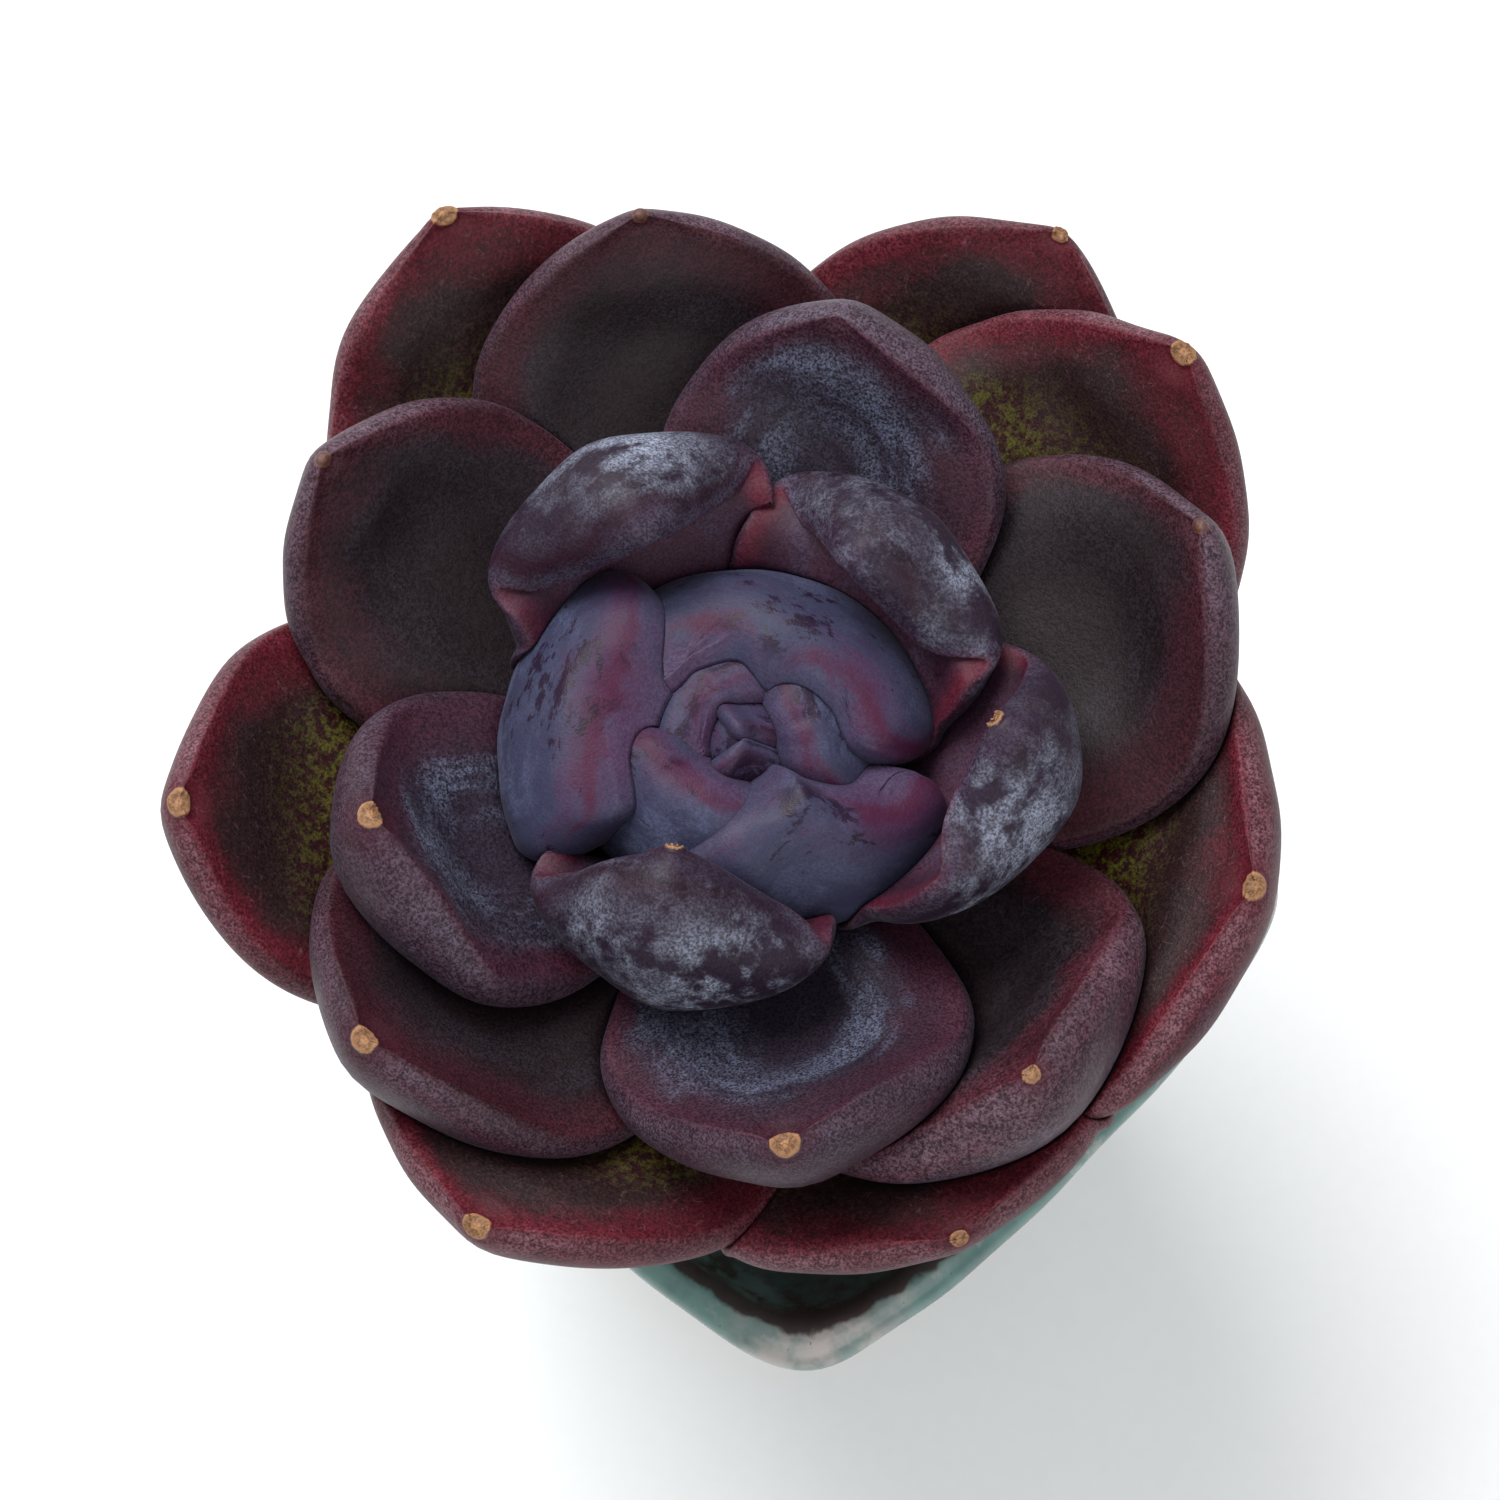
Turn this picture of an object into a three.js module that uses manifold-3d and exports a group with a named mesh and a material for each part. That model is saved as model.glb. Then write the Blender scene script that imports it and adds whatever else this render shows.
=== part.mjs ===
// A potted rosette succulent: thirty fleshy leaves round a short stem, in a square glazed pot.
// Millimetres, +Z up. The origin is on the table, under the middle of the whole footprint.

import * as THREE from 'three';
import { mergeVertices } from 'three/addons/utils/BufferGeometryUtils.js';
import Module from 'manifold-3d';

const wasm = await Module();
wasm.setup();

const DEGREE = Math.PI / 180;
const GAP = 0.3; // clear space between two pieces that touch
const FINEST = 0.16; // edges that change a cut shape by less than this are merged
const WELD = 0.001; // points closer than this are one point

// Where the pot and the rosette's axis stand; the plant leans towards -X
const POT_CENTRE = new THREE.Vector2(12.1, -4.7);
const ROSETTE_CENTRE = new THREE.Vector2(5, -4.4);

// Pot: a square with rounded corners, whose wall swells up from a foot ring and flares to a rolled rim
const POT_HEIGHT = 60;
const POT_HALF_TOP = 34;
const POT_HALF_FOOT = 23;
const POT_SWELL = 4;
const POT_FLARE = 7;
const POT_FLARE_Z = 42; // where the wall starts to flare
const POT_WALL = 3.6;
const POT_FLOOR = 6;
const POT_LIP = 2; // radius of the rolled rim
const FOOT_RING = 6; // width of the flat ring that the pot stands on
const FOOT_RECESS = 1.6;
const FOOT_BEVEL = 1;
const FLOOR_BEVEL = 2; // where the inner wall meets the floor
const DRAIN_RADIUS = 4;
const POT_AROUND = 40;
const ROUND = 2; // power of the superellipse: 2 is round, and more is squarer
const FLOOR_SQUARE = 4;
const POT_SQUARE_FOOT = 4.4;
const POT_SQUARE_TOP = 6.2;
const CORNER_CROWDING = 0.12; // shifts the points of a ring towards its corners

// Drain mesh: a small pad over the hole in the pot's floor
const MESH_PAD_HALF = 7.5;
const MESH_PAD_THICK = 1;
const MESH_HOLE = 1.8;
const MESH_HOLES_ACROSS = 4;
const MESH_PITCH = 3.4;

// Soil: fills the pot to the foot of its flared rim
const SOIL_TOP = 50;
const SOIL_RELIEF = 0.7;
const SOIL_MARGIN = 0.4; // how far the soil stays clear of the inner wall

// Stem: from the soil up to the growing point
const STEM_FOOT_Z = 42;
const STEM_TOP_Z = 75;
const STEM_RADIUS = 4.6;
const STEM_TIP_RADIUS = 2.2;
const STEM_LEAN = 2.4; // how far the foot stands from the rosette's axis
const STEM_UPRIGHT_Z = 64; // from here up the stem is on the axis
const ROOT_LENGTH = 6.75; // over this length the root reaches the stem's full thickness
const ROOT_TIP = 0.25;
const STEM_AROUND = 14;

// Rosette: each leaf stands one golden angle on from the leaf before it
const GOLDEN_ANGLE = 137.5;
const FIRST_LEAF_ANGLE = 231.5;
const LEAF_RINGS = 9;
const LEAF_AROUND = 12;
const SMALL_LEAF = 10; // blades narrower than this, in half width, have fewer rings and sides
const SMALL_RINGS = 7;
const SMALL_AROUND = 10;
const YOUNGEST_BASE_Z = 74;
const OLDEST_BASE_Z = 64;
const BASE_INSIDE_STEM = 0.6; // how far a leaf runs into the stem before it is cut to fit
const THIN_LEAF = 3;
const THICK_LEAF = 5.6;
const FULL_THICKNESS_AGE = 0.45;
const YOUNG_UNTIL = 0.45; // ages run from 0, the youngest leaf, to 1, the oldest
const MIDDLE_UNTIL = 0.72;

// Blade: its outline, its thickness along it, and its section, flatter above than below
const WIDEST_AT = 0.6;
const NARROW_BASE = 0.24;
const SWELL_POWER = 1.2;
const TIP_POWER = 2.1; // how late the blade narrows to its tip
const TIP_ROUND = 0.53; // 0.5 is a round end, and more is pointed
const THIN_BASE = 0.6;
const THICKEST = 1.15;
const THICKEST_AT = 0.55;
const TIP_CROWDING = 1.5; // 1 spaces the rings evenly, and more crowds them at the tip
const SECTION_POWER = 0.85; // 1 is an ellipse, and less is fuller at the margins
const UPPER_FACE = 0.28; // share of the thickness above the midrib
const LOWER_FACE = 0.72;
const KEEL = 0.15; // share of the thickness that the keel adds
const KEEL_HALF = 0.28; // half the keel's width, as a share of the blade's
const LEAST_WRAP = 20;
const BASE_WRAP = 0.8; // the wrap at the stem, as a share of the wrap at the tip
const FOLD_ROOM = 2.1; // how far the margins keep from the middle of the midrib's bend

// One leaf's sizes. turn: degrees off the golden angle; tip: its distance from the axis and its height;
// half: half the blade's width; slope: the midrib's slope at the stem and at the tip; hold: how long it
// keeps each slope; wrap: how far the blade curls round its midrib at the tip; lean: the tip's sideways
// offset; roll: a twist along the blade; blunt: how late the tip thins out.
function blade(turn, tip, half, slope, hold, wrap, { lean = 0, roll = 0, blunt = 5 } = {}) {
  return { turn, tip, half, slope, hold, wrap, lean, roll, blunt };
}

// Leaves, youngest first
const LEAVES = [
  blade(1.5, [3.2, 83], 4.6, [85, 130], [0.4, 0.35], 75),
  blade(6, [1.6, 83.6], 6.2, [75, 150], [0.5, 0.45], 75),
  blade(6.5, [1.4, 84], 7, [70, 150], [0.55, 0.5], 75, { lean: -1 }),
  blade(-9, [7.4, 85], 8.2, [60, 125], [0.55, 0.45], 80, { lean: -0.8 }),
  blade(21.5, [5.4, 85], 8.8, [55, 130], [0.55, 0.5], 78, { lean: -1.2 }),
  blade(3, [4.8, 86], 11.2, [45, 160], [0.6, 0.6], 78, { lean: -4.6 }),
  blade(-4.5, [6.4, 86.5], 14.4, [36, 162], [0.7, 0.62], 75),
  blade(-14, [5.5, 86.8], 14.6, [32, 160], [0.68, 0.62], 72, { lean: 2.8 }),
  blade(-1.5, [10.9, 88], 13.8, [30, 158], [0.67, 0.58], 66, { lean: -1.6 }),
  blade(18, [15.6, 89.5], 13.5, [25, 158], [0.65, 0.52], 60, { lean: 2.4 }),
  blade(2.5, [13.1, 90], 13.5, [22, 158], [0.65, 0.55], 58, { lean: -2.1 }),
  blade(4, [17.2, 90.5], 13.6, [20, 160], [0.7, 0.58], 60),
  blade(6.5, [19.8, 91], 13.8, [18, 150], [0.7, 0.5], 56, { lean: 4.6, roll: 12 }),
  blade(3, [30.3, 89.5], 14.4, [15, 98], [0.55, 0.4], 42, { lean: -3 }),
  blade(8.5, [34.8, 90], 15, [15, 95], [0.55, 0.35], 38, { lean: 4.4 }),
  blade(-3, [34.1, 89], 15.5, [12, 80], [0.55, 0.35], 38, { lean: -3.4 }),
  blade(-2.5, [40.7, 87.5], 15.2, [10, 82], [0.5, 0.35], 32, { lean: 2 }),
  blade(10, [40.1, 87], 17, [10, 88], [0.5, 0.35], 32, { lean: 3.6 }),
  blade(-8.5, [38.8, 86], 17, [8, 82], [0.5, 0.35], 32, { lean: -1.4 }),
  blade(7, [45.6, 86], 17.5, [8, 82], [0.5, 0.35], 30),
  blade(-4.5, [36.2, 87], 17.2, [8, 98], [0.75, 0.55], 38, { lean: -2.6, blunt: 8 }),
  blade(4, [45.1, 84], 17.5, [6, 80], [0.5, 0.35], 30, { lean: 3.2 }),
  blade(1, [49.1, 84], 18.5, [6, 78], [0.5, 0.35], 30),
  blade(-18, [43.8, 81], 18.4, [4, 66], [0.5, 0.3], 28, { lean: -3 }),
  blade(-5.5, [53, 82], 18.3, [4, 72], [0.5, 0.35], 30, { lean: -2.3 }),
  blade(-7, [41.9, 83], 18.5, [4, 85], [0.5, 0.35], 32),
  blade(-8, [34, 77], 15, [3, 70], [0.5, 0.35], 28),
  blade(-6, [52.3, 80], 18, [3, 68], [0.5, 0.35], 28, { lean: -7.3 }),
  blade(-1.5, [43.1, 79], 20, [2, 60], [0.5, 0.3], 28, { roll: 4 }),
  blade(-4, [40, 76], 14, [2, 60], [0.5, 0.35], 28),
];

// Growing point: the three leaves in the very middle, still closed on each other
const BUD_LEAVES = [
  blade(20, [0.8, 80.4], 2.2, [88, 115], [0.35, 0.3], 70),
  blade(150, [0.9, 80.8], 2.6, [88, 115], [0.35, 0.3], 70),
  blade(265, [1, 81.2], 3, [86, 118], [0.35, 0.3], 70),
];

const FINISH = {
  glaze: new THREE.MeshStandardMaterial({ color: '#3f7f78', roughness: 0.25, metalness: 0 }),
  mesh: new THREE.MeshStandardMaterial({ color: '#202422', roughness: 0.6, metalness: 0 }),
  soil: new THREE.MeshStandardMaterial({ color: '#3a2a20', roughness: 1, metalness: 0 }),
  stem: new THREE.MeshStandardMaterial({ color: '#6d5a3c', roughness: 0.9, metalness: 0 }),
  youngLeaf: new THREE.MeshStandardMaterial({ color: '#6a5673', roughness: 0.6, metalness: 0 }),
  middleLeaf: new THREE.MeshStandardMaterial({ color: '#3b2233', roughness: 0.55, metalness: 0 }),
  oldLeaf: new THREE.MeshStandardMaterial({ color: '#5a1626', roughness: 0.5, metalness: 0 }),
};

// Closed skin over rings of points. With no end points the last ring joins the first. The two halves of
// a ring are split into mirrored triangles, so that the two faces of a thin blade never cross.
function skin(rings, start, end) {
  const count = rings[0].length;
  const points = rings.flat();
  const faces = [];
  const spans = start ? rings.length - 1 : rings.length;
  for (let i = 0; i < spans; i++) {
    const here = i * count;
    const next = ((i + 1) % rings.length) * count;
    for (let j = 0; j < count; j++) {
      const k = (j + 1) % count;
      if (j < count / 2) faces.push(here + j, here + k, next + k, here + j, next + k, next + j);
      else faces.push(here + j, here + k, next + j, here + k, next + k, next + j);
    }
  }
  if (start) {
    const first = points.push(start) - 1;
    const last = points.push(end) - 1;
    const top = (rings.length - 1) * count;
    for (let j = 0; j < count; j++) {
      const k = (j + 1) % count;
      faces.push(first, k, j, last, top + j, top + k);
    }
  }
  const geometry = new THREE.BufferGeometry();
  geometry.setAttribute('position', new THREE.Float32BufferAttribute(points.flatMap((p) => p.toArray()), 3));
  geometry.setIndex(facingOut(points, faces));
  return geometry;
}

// The faces as they are, or turned round where they enclose a negative volume
function facingOut(points, faces) {
  let volume = 0;
  const across = new THREE.Vector3();
  for (let i = 0; i < faces.length; i += 3) {
    across.crossVectors(points[faces[i + 1]], points[faces[i + 2]]);
    volume += points[faces[i]].dot(across);
  }
  return volume < 0 ? faces.reverse() : faces;
}

// The same shape with every point moved out along its normal
function grown(geometry, distance) {
  const shape = geometry.clone();
  shape.computeVertexNormals();
  const { position, normal } = shape.attributes;
  for (let i = 0; i < position.count; i++) {
    position.setXYZ(
      i,
      position.getX(i) + normal.getX(i) * distance,
      position.getY(i) + normal.getY(i) * distance,
      position.getZ(i) + normal.getZ(i) * distance,
    );
  }
  return shape;
}

// A closed geometry as a solid that can be cut and joined
function solidOf(geometry) {
  const bare = geometry.clone();
  bare.deleteAttribute('normal');
  bare.deleteAttribute('uv');
  const merged = mergeVertices(bare, WELD);
  const mesh = new wasm.Mesh({
    numProp: 3,
    vertProperties: new Float32Array(merged.attributes.position.array),
    triVerts: new Uint32Array(merged.index.array),
  });
  return new wasm.Manifold(mesh);
}

// The space that a shape takes up with a clear gap round it, also inside its tightest folds
function spaceOf(geometry) {
  return solidOf(grown(geometry, GAP)).add(solidOf(grown(geometry, GAP / 3)));
}

// The largest body of a solid
function largest(solid) {
  return solid.decompose().reduce((best, body) => (body.volume() > best.volume() ? body : best));
}

// A solid's faces as a geometry
function meshOf(solid) {
  const mesh = solid.getMesh();
  const geometry = new THREE.BufferGeometry();
  geometry.setAttribute('position', new THREE.Float32BufferAttribute(mesh.vertProperties, 3));
  geometry.setIndex([...mesh.triVerts]);
  return geometry;
}

// The largest body of a cut solid, as a geometry with its shortest edges merged away
function geometryOf(solid) {
  const body = largest(largest(solid).simplify(FINEST));
  return meshOf(largest(solidOf(meshOf(body))));
}

// One level ring of the pot: a superellipse
function potRing(half, z, power) {
  const ring = [];
  for (let i = 0; i < POT_AROUND; i++) {
    const even = (i / POT_AROUND) * 2 * Math.PI;
    const angle = even + CORNER_CROWDING * Math.sin(4 * even);
    const c = Math.cos(angle);
    const s = Math.sin(angle);
    const radius = half / (Math.abs(c) ** power + Math.abs(s) ** power) ** (1 / power);
    ring.push(new THREE.Vector3(radius * c, radius * s, z));
  }
  return ring;
}

// Half width of the pot's outer wall, which swells on its way up and then flares
function potHalf(z) {
  const up = z / POT_HEIGHT;
  const flare = Math.max(0, (z - POT_FLARE_Z) / (POT_HEIGHT - POT_FLARE_Z)) ** 2;
  return POT_HALF_FOOT + POT_SWELL * Math.sin(up * Math.PI * 0.5) + POT_FLARE * flare;
}

// How square the pot is at a height
function potPower(z) {
  return POT_SQUARE_FOOT + ((POT_SQUARE_TOP - POT_SQUARE_FOOT) * z) / POT_HEIGHT;
}

// The inner wall's rings, from the floor up, moved in by a margin
function innerRings(margin, levels) {
  return levels.map((z) => potRing(potHalf(z) - POT_WALL - margin, z, potPower(z)));
}

// Pot: one closed skin, from the drain hole out under the foot, up the wall, over the lip and back down
function makePot() {
  const rings = [
    potRing(DRAIN_RADIUS, FOOT_RECESS, ROUND),
    potRing(POT_HALF_FOOT - FOOT_RING - FOOT_BEVEL, FOOT_RECESS, FLOOR_SQUARE),
    potRing(POT_HALF_FOOT - FOOT_RING, 0, FLOOR_SQUARE),
    potRing(POT_HALF_FOOT - FOOT_BEVEL, 0, POT_SQUARE_FOOT),
  ];
  for (const z of [1.2, 10, 20, 30, POT_FLARE_Z, 48, 52, 55]) {
    rings.push(potRing(potHalf(z), z, potPower(z)));
  }
  for (const turn of [-30, 10, 50, 90, 130, 165]) {
    const out = Math.cos(turn * DEGREE) * POT_LIP;
    const up = Math.sin(turn * DEGREE) * POT_LIP;
    rings.push(potRing(POT_HALF_TOP - POT_LIP + out, POT_HEIGHT - POT_LIP + up, POT_SQUARE_TOP));
  }
  rings.push(...innerRings(0, [55.5, 52, 48, POT_FLARE_Z, 30, 18, 9]));
  rings.push(potRing(potHalf(POT_FLOOR) - POT_WALL - FLOOR_BEVEL, POT_FLOOR, FLOOR_SQUARE));
  rings.push(potRing(DRAIN_RADIUS, POT_FLOOR, ROUND));
  return skin(rings);
}

// Drain mesh: a thin pad with rows of square holes
function makeDrainMesh() {
  const middle = (MESH_HOLES_ACROSS - 1) / 2;
  const hole = new THREE.BoxGeometry(MESH_HOLE, MESH_HOLE, 3 * MESH_PAD_THICK);
  let pad = solidOf(new THREE.BoxGeometry(2 * MESH_PAD_HALF, 2 * MESH_PAD_HALF, MESH_PAD_THICK));
  for (let i = 0; i < MESH_HOLES_ACROSS; i++) {
    for (let j = 0; j < MESH_HOLES_ACROSS; j++) {
      const punch = hole.clone().translate((i - middle) * MESH_PITCH, (j - middle) * MESH_PITCH, 0);
      pad = pad.subtract(solidOf(punch));
    }
  }
  return geometryOf(pad).translate(0, 0, POT_FLOOR + GAP + MESH_PAD_THICK / 2);
}

// Gritty soil: its top is a low relief, and it has a hole for the stem and a seat over the drain mesh
function makeSoil(stem) {
  const relief = (x, y) => {
    const coarse = Math.sin(0.55 * x + 0.9) * Math.sin(0.47 * y);
    const fine = Math.sin(1.3 * x - 0.8 * y) * Math.cos(1.1 * y + 0.4 * x);
    return SOIL_RELIEF * (0.6 * coarse + 0.4 * fine);
  };
  const rings = [
    potRing(potHalf(POT_FLOOR) - POT_WALL - FLOOR_BEVEL - 2 * GAP, POT_FLOOR + GAP, FLOOR_SQUARE),
    ...innerRings(SOIL_MARGIN, [9, 18, 30, POT_FLARE_Z, 48]),
  ];
  for (const inward of [1, 0.84, 0.68, 0.52, 0.36, 0.2]) {
    const half = (potHalf(SOIL_TOP) - POT_WALL - 2 * SOIL_MARGIN) * inward;
    const ring = potRing(half, SOIL_TOP, potPower(SOIL_TOP));
    ring.forEach((p) => p.setZ(SOIL_TOP + relief(p.x, p.y)));
    rings.push(ring);
  }
  const bottom = new THREE.Vector3(0, 0, POT_FLOOR + GAP);
  const top = new THREE.Vector3(0, 0, SOIL_TOP + relief(0, 0));
  const seatSide = 2 * (MESH_PAD_HALF + GAP);
  const seatDeep = 2 * (MESH_PAD_THICK + GAP);
  const pad = new THREE.BoxGeometry(seatSide, seatSide, seatDeep).translate(0, 0, POT_FLOOR + GAP);
  let soil = solidOf(skin(rings, bottom, top));
  soil = soil.subtract(solidOf(pad));
  return geometryOf(soil.subtract(stem));
}

// The stem's radius, thinner towards the growing point
function stemRadius(z) {
  const up = THREE.MathUtils.clamp((z - SOIL_TOP) / (STEM_TOP_Z - SOIL_TOP), 0, 1);
  return STEM_RADIUS + (STEM_TIP_RADIUS - STEM_RADIUS) * up ** 1.3;
}

// Stem: a root that thickens to the soil, then a ringed trunk that thins to the growing point
function makeStem() {
  const rings = [];
  const levels = [STEM_FOOT_Z, 45, 49, 53, 57, 61, 65, 69, 72, STEM_TOP_Z];
  levels.forEach((z, i) => {
    const root = Math.min(1, ROOT_TIP + ((1 - ROOT_TIP) * (z - STEM_FOOT_Z)) / ROOT_LENGTH);
    const ridge = 1 + (i % 2 ? 0.05 : -0.02);
    const radius = stemRadius(z) * root * ridge;
    const lean = STEM_LEAN * Math.max(0, (STEM_UPRIGHT_Z - z) / (STEM_UPRIGHT_Z - STEM_FOOT_Z));
    const ring = [];
    for (let j = 0; j < STEM_AROUND; j++) {
      const angle = (j / STEM_AROUND) * 2 * Math.PI;
      ring.push(new THREE.Vector3(lean + radius * Math.cos(angle), radius * Math.sin(angle), z));
    }
    rings.push(ring);
  });
  const foot = new THREE.Vector3(STEM_LEAN, 0, STEM_FOOT_Z - 0.6);
  const top = new THREE.Vector3(0, 0, STEM_TOP_Z + 0.8);
  return skin(rings, foot, top);
}

// Midrib: a cubic curve in the upright plane through the leaf's direction, x outwards and y up
function midrib(leaf, baseRadius, baseZ) {
  const base = new THREE.Vector2(baseRadius, baseZ);
  const tip = new THREE.Vector2(...leaf.tip);
  const chord = base.distanceTo(tip);
  const [rise, curl] = leaf.slope.map((degrees) => degrees * DEGREE);
  const first = new THREE.Vector2(Math.cos(rise), Math.sin(rise)).multiplyScalar(leaf.hold[0] * chord);
  const second = new THREE.Vector2(Math.cos(curl), Math.sin(curl)).multiplyScalar(-leaf.hold[1] * chord);
  return new THREE.CubicBezierCurve(base, first.add(base), second.add(tip), tip);
}

// Half width of the blade, from a narrow base to its widest place and round to the tip
function bladeWidth(s, half) {
  const swell = Math.sin(Math.min(s / WIDEST_AT, 1) * Math.PI * 0.5) ** SWELL_POWER;
  const past = Math.max(0, (s - WIDEST_AT) / (1 - WIDEST_AT));
  return half * (NARROW_BASE + (1 - NARROW_BASE) * swell) * (1 - past ** TIP_POWER) ** TIP_ROUND;
}

// The blade's thickness, from the stem to its tip
function bladeThickness(s, thick, blunt) {
  const along = Math.sin(Math.min(s / THICKEST_AT, 1) * Math.PI * 0.5);
  return thick * (THIN_BASE + (THICKEST - THIN_BASE) * along) * Math.sqrt(1 - s ** blunt);
}

// How sharply the midrib bends at a place along it, in radians per millimetre
function bendAt(rib, s, length) {
  const step = 0.02;
  const before = rib.getTangentAt(Math.max(0, s - step));
  const after = rib.getTangentAt(Math.min(1, s + step));
  const span = (Math.min(1, s + step) - Math.max(0, s - step)) * length;
  return Math.acos(THREE.MathUtils.clamp(before.dot(after), -1, 1)) / span;
}

// How far the section curls round the midrib; less where the midrib bends, so that the margins never fold
function bladeWrap(s, wrapAtTip, width, bend) {
  const wrapAtBase = Math.max(LEAST_WRAP, BASE_WRAP * wrapAtTip);
  const wrap = (wrapAtBase + (wrapAtTip - wrapAtBase) * s) * DEGREE;
  const height = (width / wrap) * (1 - Math.cos(wrap));
  return wrap / (1 + (FOLD_ROOM * bend * height) ** 4) ** 0.25;
}

// A leaf: a fleshy section, flat above and keeled below, bent round the midrib and carried to the tip
function makeLeaf(leaf, age, direction, base) {
  const { lean, roll, blunt } = leaf;
  const outward = new THREE.Vector3(Math.cos(direction), Math.sin(direction), 0);
  const sideways = new THREE.Vector3(-Math.sin(direction), Math.cos(direction), 0);
  const rib = midrib(leaf, base.radius, base.z);
  const length = rib.getLength();
  const thick = THIN_LEAF + (THICK_LEAF - THIN_LEAF) * Math.min(1, age / FULL_THICKNESS_AGE);
  const place = (p, s) => {
    const flat = outward.clone().multiplyScalar(p.x);
    return flat.addScaledVector(sideways, lean * s * s).setZ(p.y);
  };
  const ringCount = leaf.half < SMALL_LEAF ? SMALL_RINGS : LEAF_RINGS;
  const around = leaf.half < SMALL_LEAF ? SMALL_AROUND : LEAF_AROUND;
  const rings = [];
  for (let i = 0; i < ringCount; i++) {
    const s = 1 - (1 - i / ringCount) ** TIP_CROWDING;
    const slope = rib.getTangentAt(s);
    const along = place(slope, 0).addScaledVector(sideways, (2 * lean * s) / length).normalize();
    const inner = outward.clone().multiplyScalar(-slope.y).setZ(slope.x);
    inner.addScaledVector(along, -inner.dot(along)).normalize();
    const across = new THREE.Vector3().crossVectors(along, inner).negate();
    across.multiplyScalar(Math.sign(across.dot(sideways)));
    const twist = roll * s * DEGREE;
    const up = inner.clone().multiplyScalar(Math.cos(twist)).addScaledVector(across, Math.sin(twist));
    const side = across.clone().multiplyScalar(Math.cos(twist)).addScaledVector(inner, -Math.sin(twist));
    const width = bladeWidth(s, leaf.half);
    const wrap = bladeWrap(s, leaf.wrap, width, bendAt(rib, s, length));
    const bend = width / wrap;
    const thickness = bladeThickness(s, thick, blunt);
    const centre = place(rib.getPointAt(s), s);
    const ring = [];
    for (let j = 0; j < around; j++) {
      const angle = (j / around) * 2 * Math.PI;
      const q = Math.sign(Math.cos(angle)) * Math.abs(Math.cos(angle)) ** SECTION_POWER;
      const h = Math.sign(Math.sin(angle)) * Math.abs(Math.sin(angle)) ** SECTION_POWER;
      const keel = KEEL * Math.exp(-((q / KEEL_HALF) ** 2)) * Math.min(1, s / THICKEST_AT);
      const depth = thickness * h * (h > 0 ? UPPER_FACE : LOWER_FACE + keel);
      const turn = q * wrap;
      const x = (bend - depth) * Math.sin(turn);
      const y = bend * (1 - Math.cos(turn)) + depth * Math.cos(turn);
      ring.push(centre.clone().addScaledVector(side, x).addScaledVector(up, y));
    }
    rings.push(ring);
  }
  const tip = place(rib.getPointAt(1), 1);
  return skin(rings, place(rib.getPointAt(0), 0), tip);
}

// Growing point: its three leaves joined into one body, cut clear of the stem
function makeBud(stem) {
  const base = { radius: 0.6, z: STEM_TOP_Z - 1.5 };
  let bud = null;
  for (const leaf of BUD_LEAVES) {
    const closed = solidOf(makeLeaf(leaf, 0, leaf.turn * DEGREE, base));
    bud = bud ? bud.add(closed) : closed;
  }
  return geometryOf(bud.subtract(stem));
}

// A named piece of the plant or the pot
function node(name, geometry, material) {
  const mesh = new THREE.Mesh(geometry, material);
  mesh.name = name;
  return mesh;
}

// Leaves darken and redden with age
function leafMaterial(age) {
  if (age < YOUNG_UNTIL) return FINISH.youngLeaf;
  return age < MIDDLE_UNTIL ? FINISH.middleLeaf : FINISH.oldLeaf;
}

// Leaves from the middle outwards, each cut clear of all that already stands
function addLeaves(plant, standing) {
  LEAVES.forEach((leaf, rank) => {
    const age = rank / (LEAVES.length - 1);
    const direction = (FIRST_LEAF_ANGLE - GOLDEN_ANGLE * rank + leaf.turn) * DEGREE;
    const baseZ = YOUNGEST_BASE_Z - (YOUNGEST_BASE_Z - OLDEST_BASE_Z) * age ** 0.8;
    const base = { radius: stemRadius(baseZ) - BASE_INSIDE_STEM, z: baseZ };
    const whole = makeLeaf(leaf, age, direction, base);
    let solid = solidOf(whole);
    for (const other of standing) solid = solid.subtract(other);
    const cut = geometryOf(solid);
    plant.add(node(`leaf_${String(rank + 1).padStart(2, '0')}`, cut, leafMaterial(age)));
    standing.push(spaceOf(whole));
  });
}

const potShape = makePot();
const drainMeshShape = makeDrainMesh();
const stemShape = makeStem();
const stemSpace = spaceOf(stemShape);
const budShape = makeBud(stemSpace);
const lean = ROSETTE_CENTRE.clone().sub(POT_CENTRE);
const soilShape = makeSoil(stemSpace.translate(lean.x, lean.y, 0));
const potSpace = spaceOf(potShape).translate(-lean.x, -lean.y, 0);

const pot = new THREE.Group();
pot.add(node('pot', potShape, FINISH.glaze));
pot.add(node('drain_mesh', drainMeshShape, FINISH.mesh));
pot.add(node('soil', soilShape, FINISH.soil));
pot.position.set(POT_CENTRE.x, POT_CENTRE.y, 0);

const plant = new THREE.Group();
plant.add(node('stem', stemShape, FINISH.stem));
plant.add(node('bud', budShape, FINISH.youngLeaf));
addLeaves(plant, [stemSpace, potSpace, spaceOf(budShape)]);
plant.position.set(ROSETTE_CENTRE.x, ROSETTE_CENTRE.y, 0);

const echeveria = new THREE.Group();
echeveria.add(pot, plant);

export default echeveria;
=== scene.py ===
"""A potted rosette succulent with thick waxy leaves and corky tips, in a square glazed pot.

Sizes in this script are millimetres, and the meshes are metres (MM). The pot, the stem and the open
leaves follow the formulas of the frame's own solids, on fine grids with relief added. The closed leaves
of the heart are shells that hug each other.
Colours are written as red, green and blue from 0 to 255 and turned to linear by paint().
"""

import logging
import math
from dataclasses import dataclass, field, replace
from enum import Enum

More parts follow.
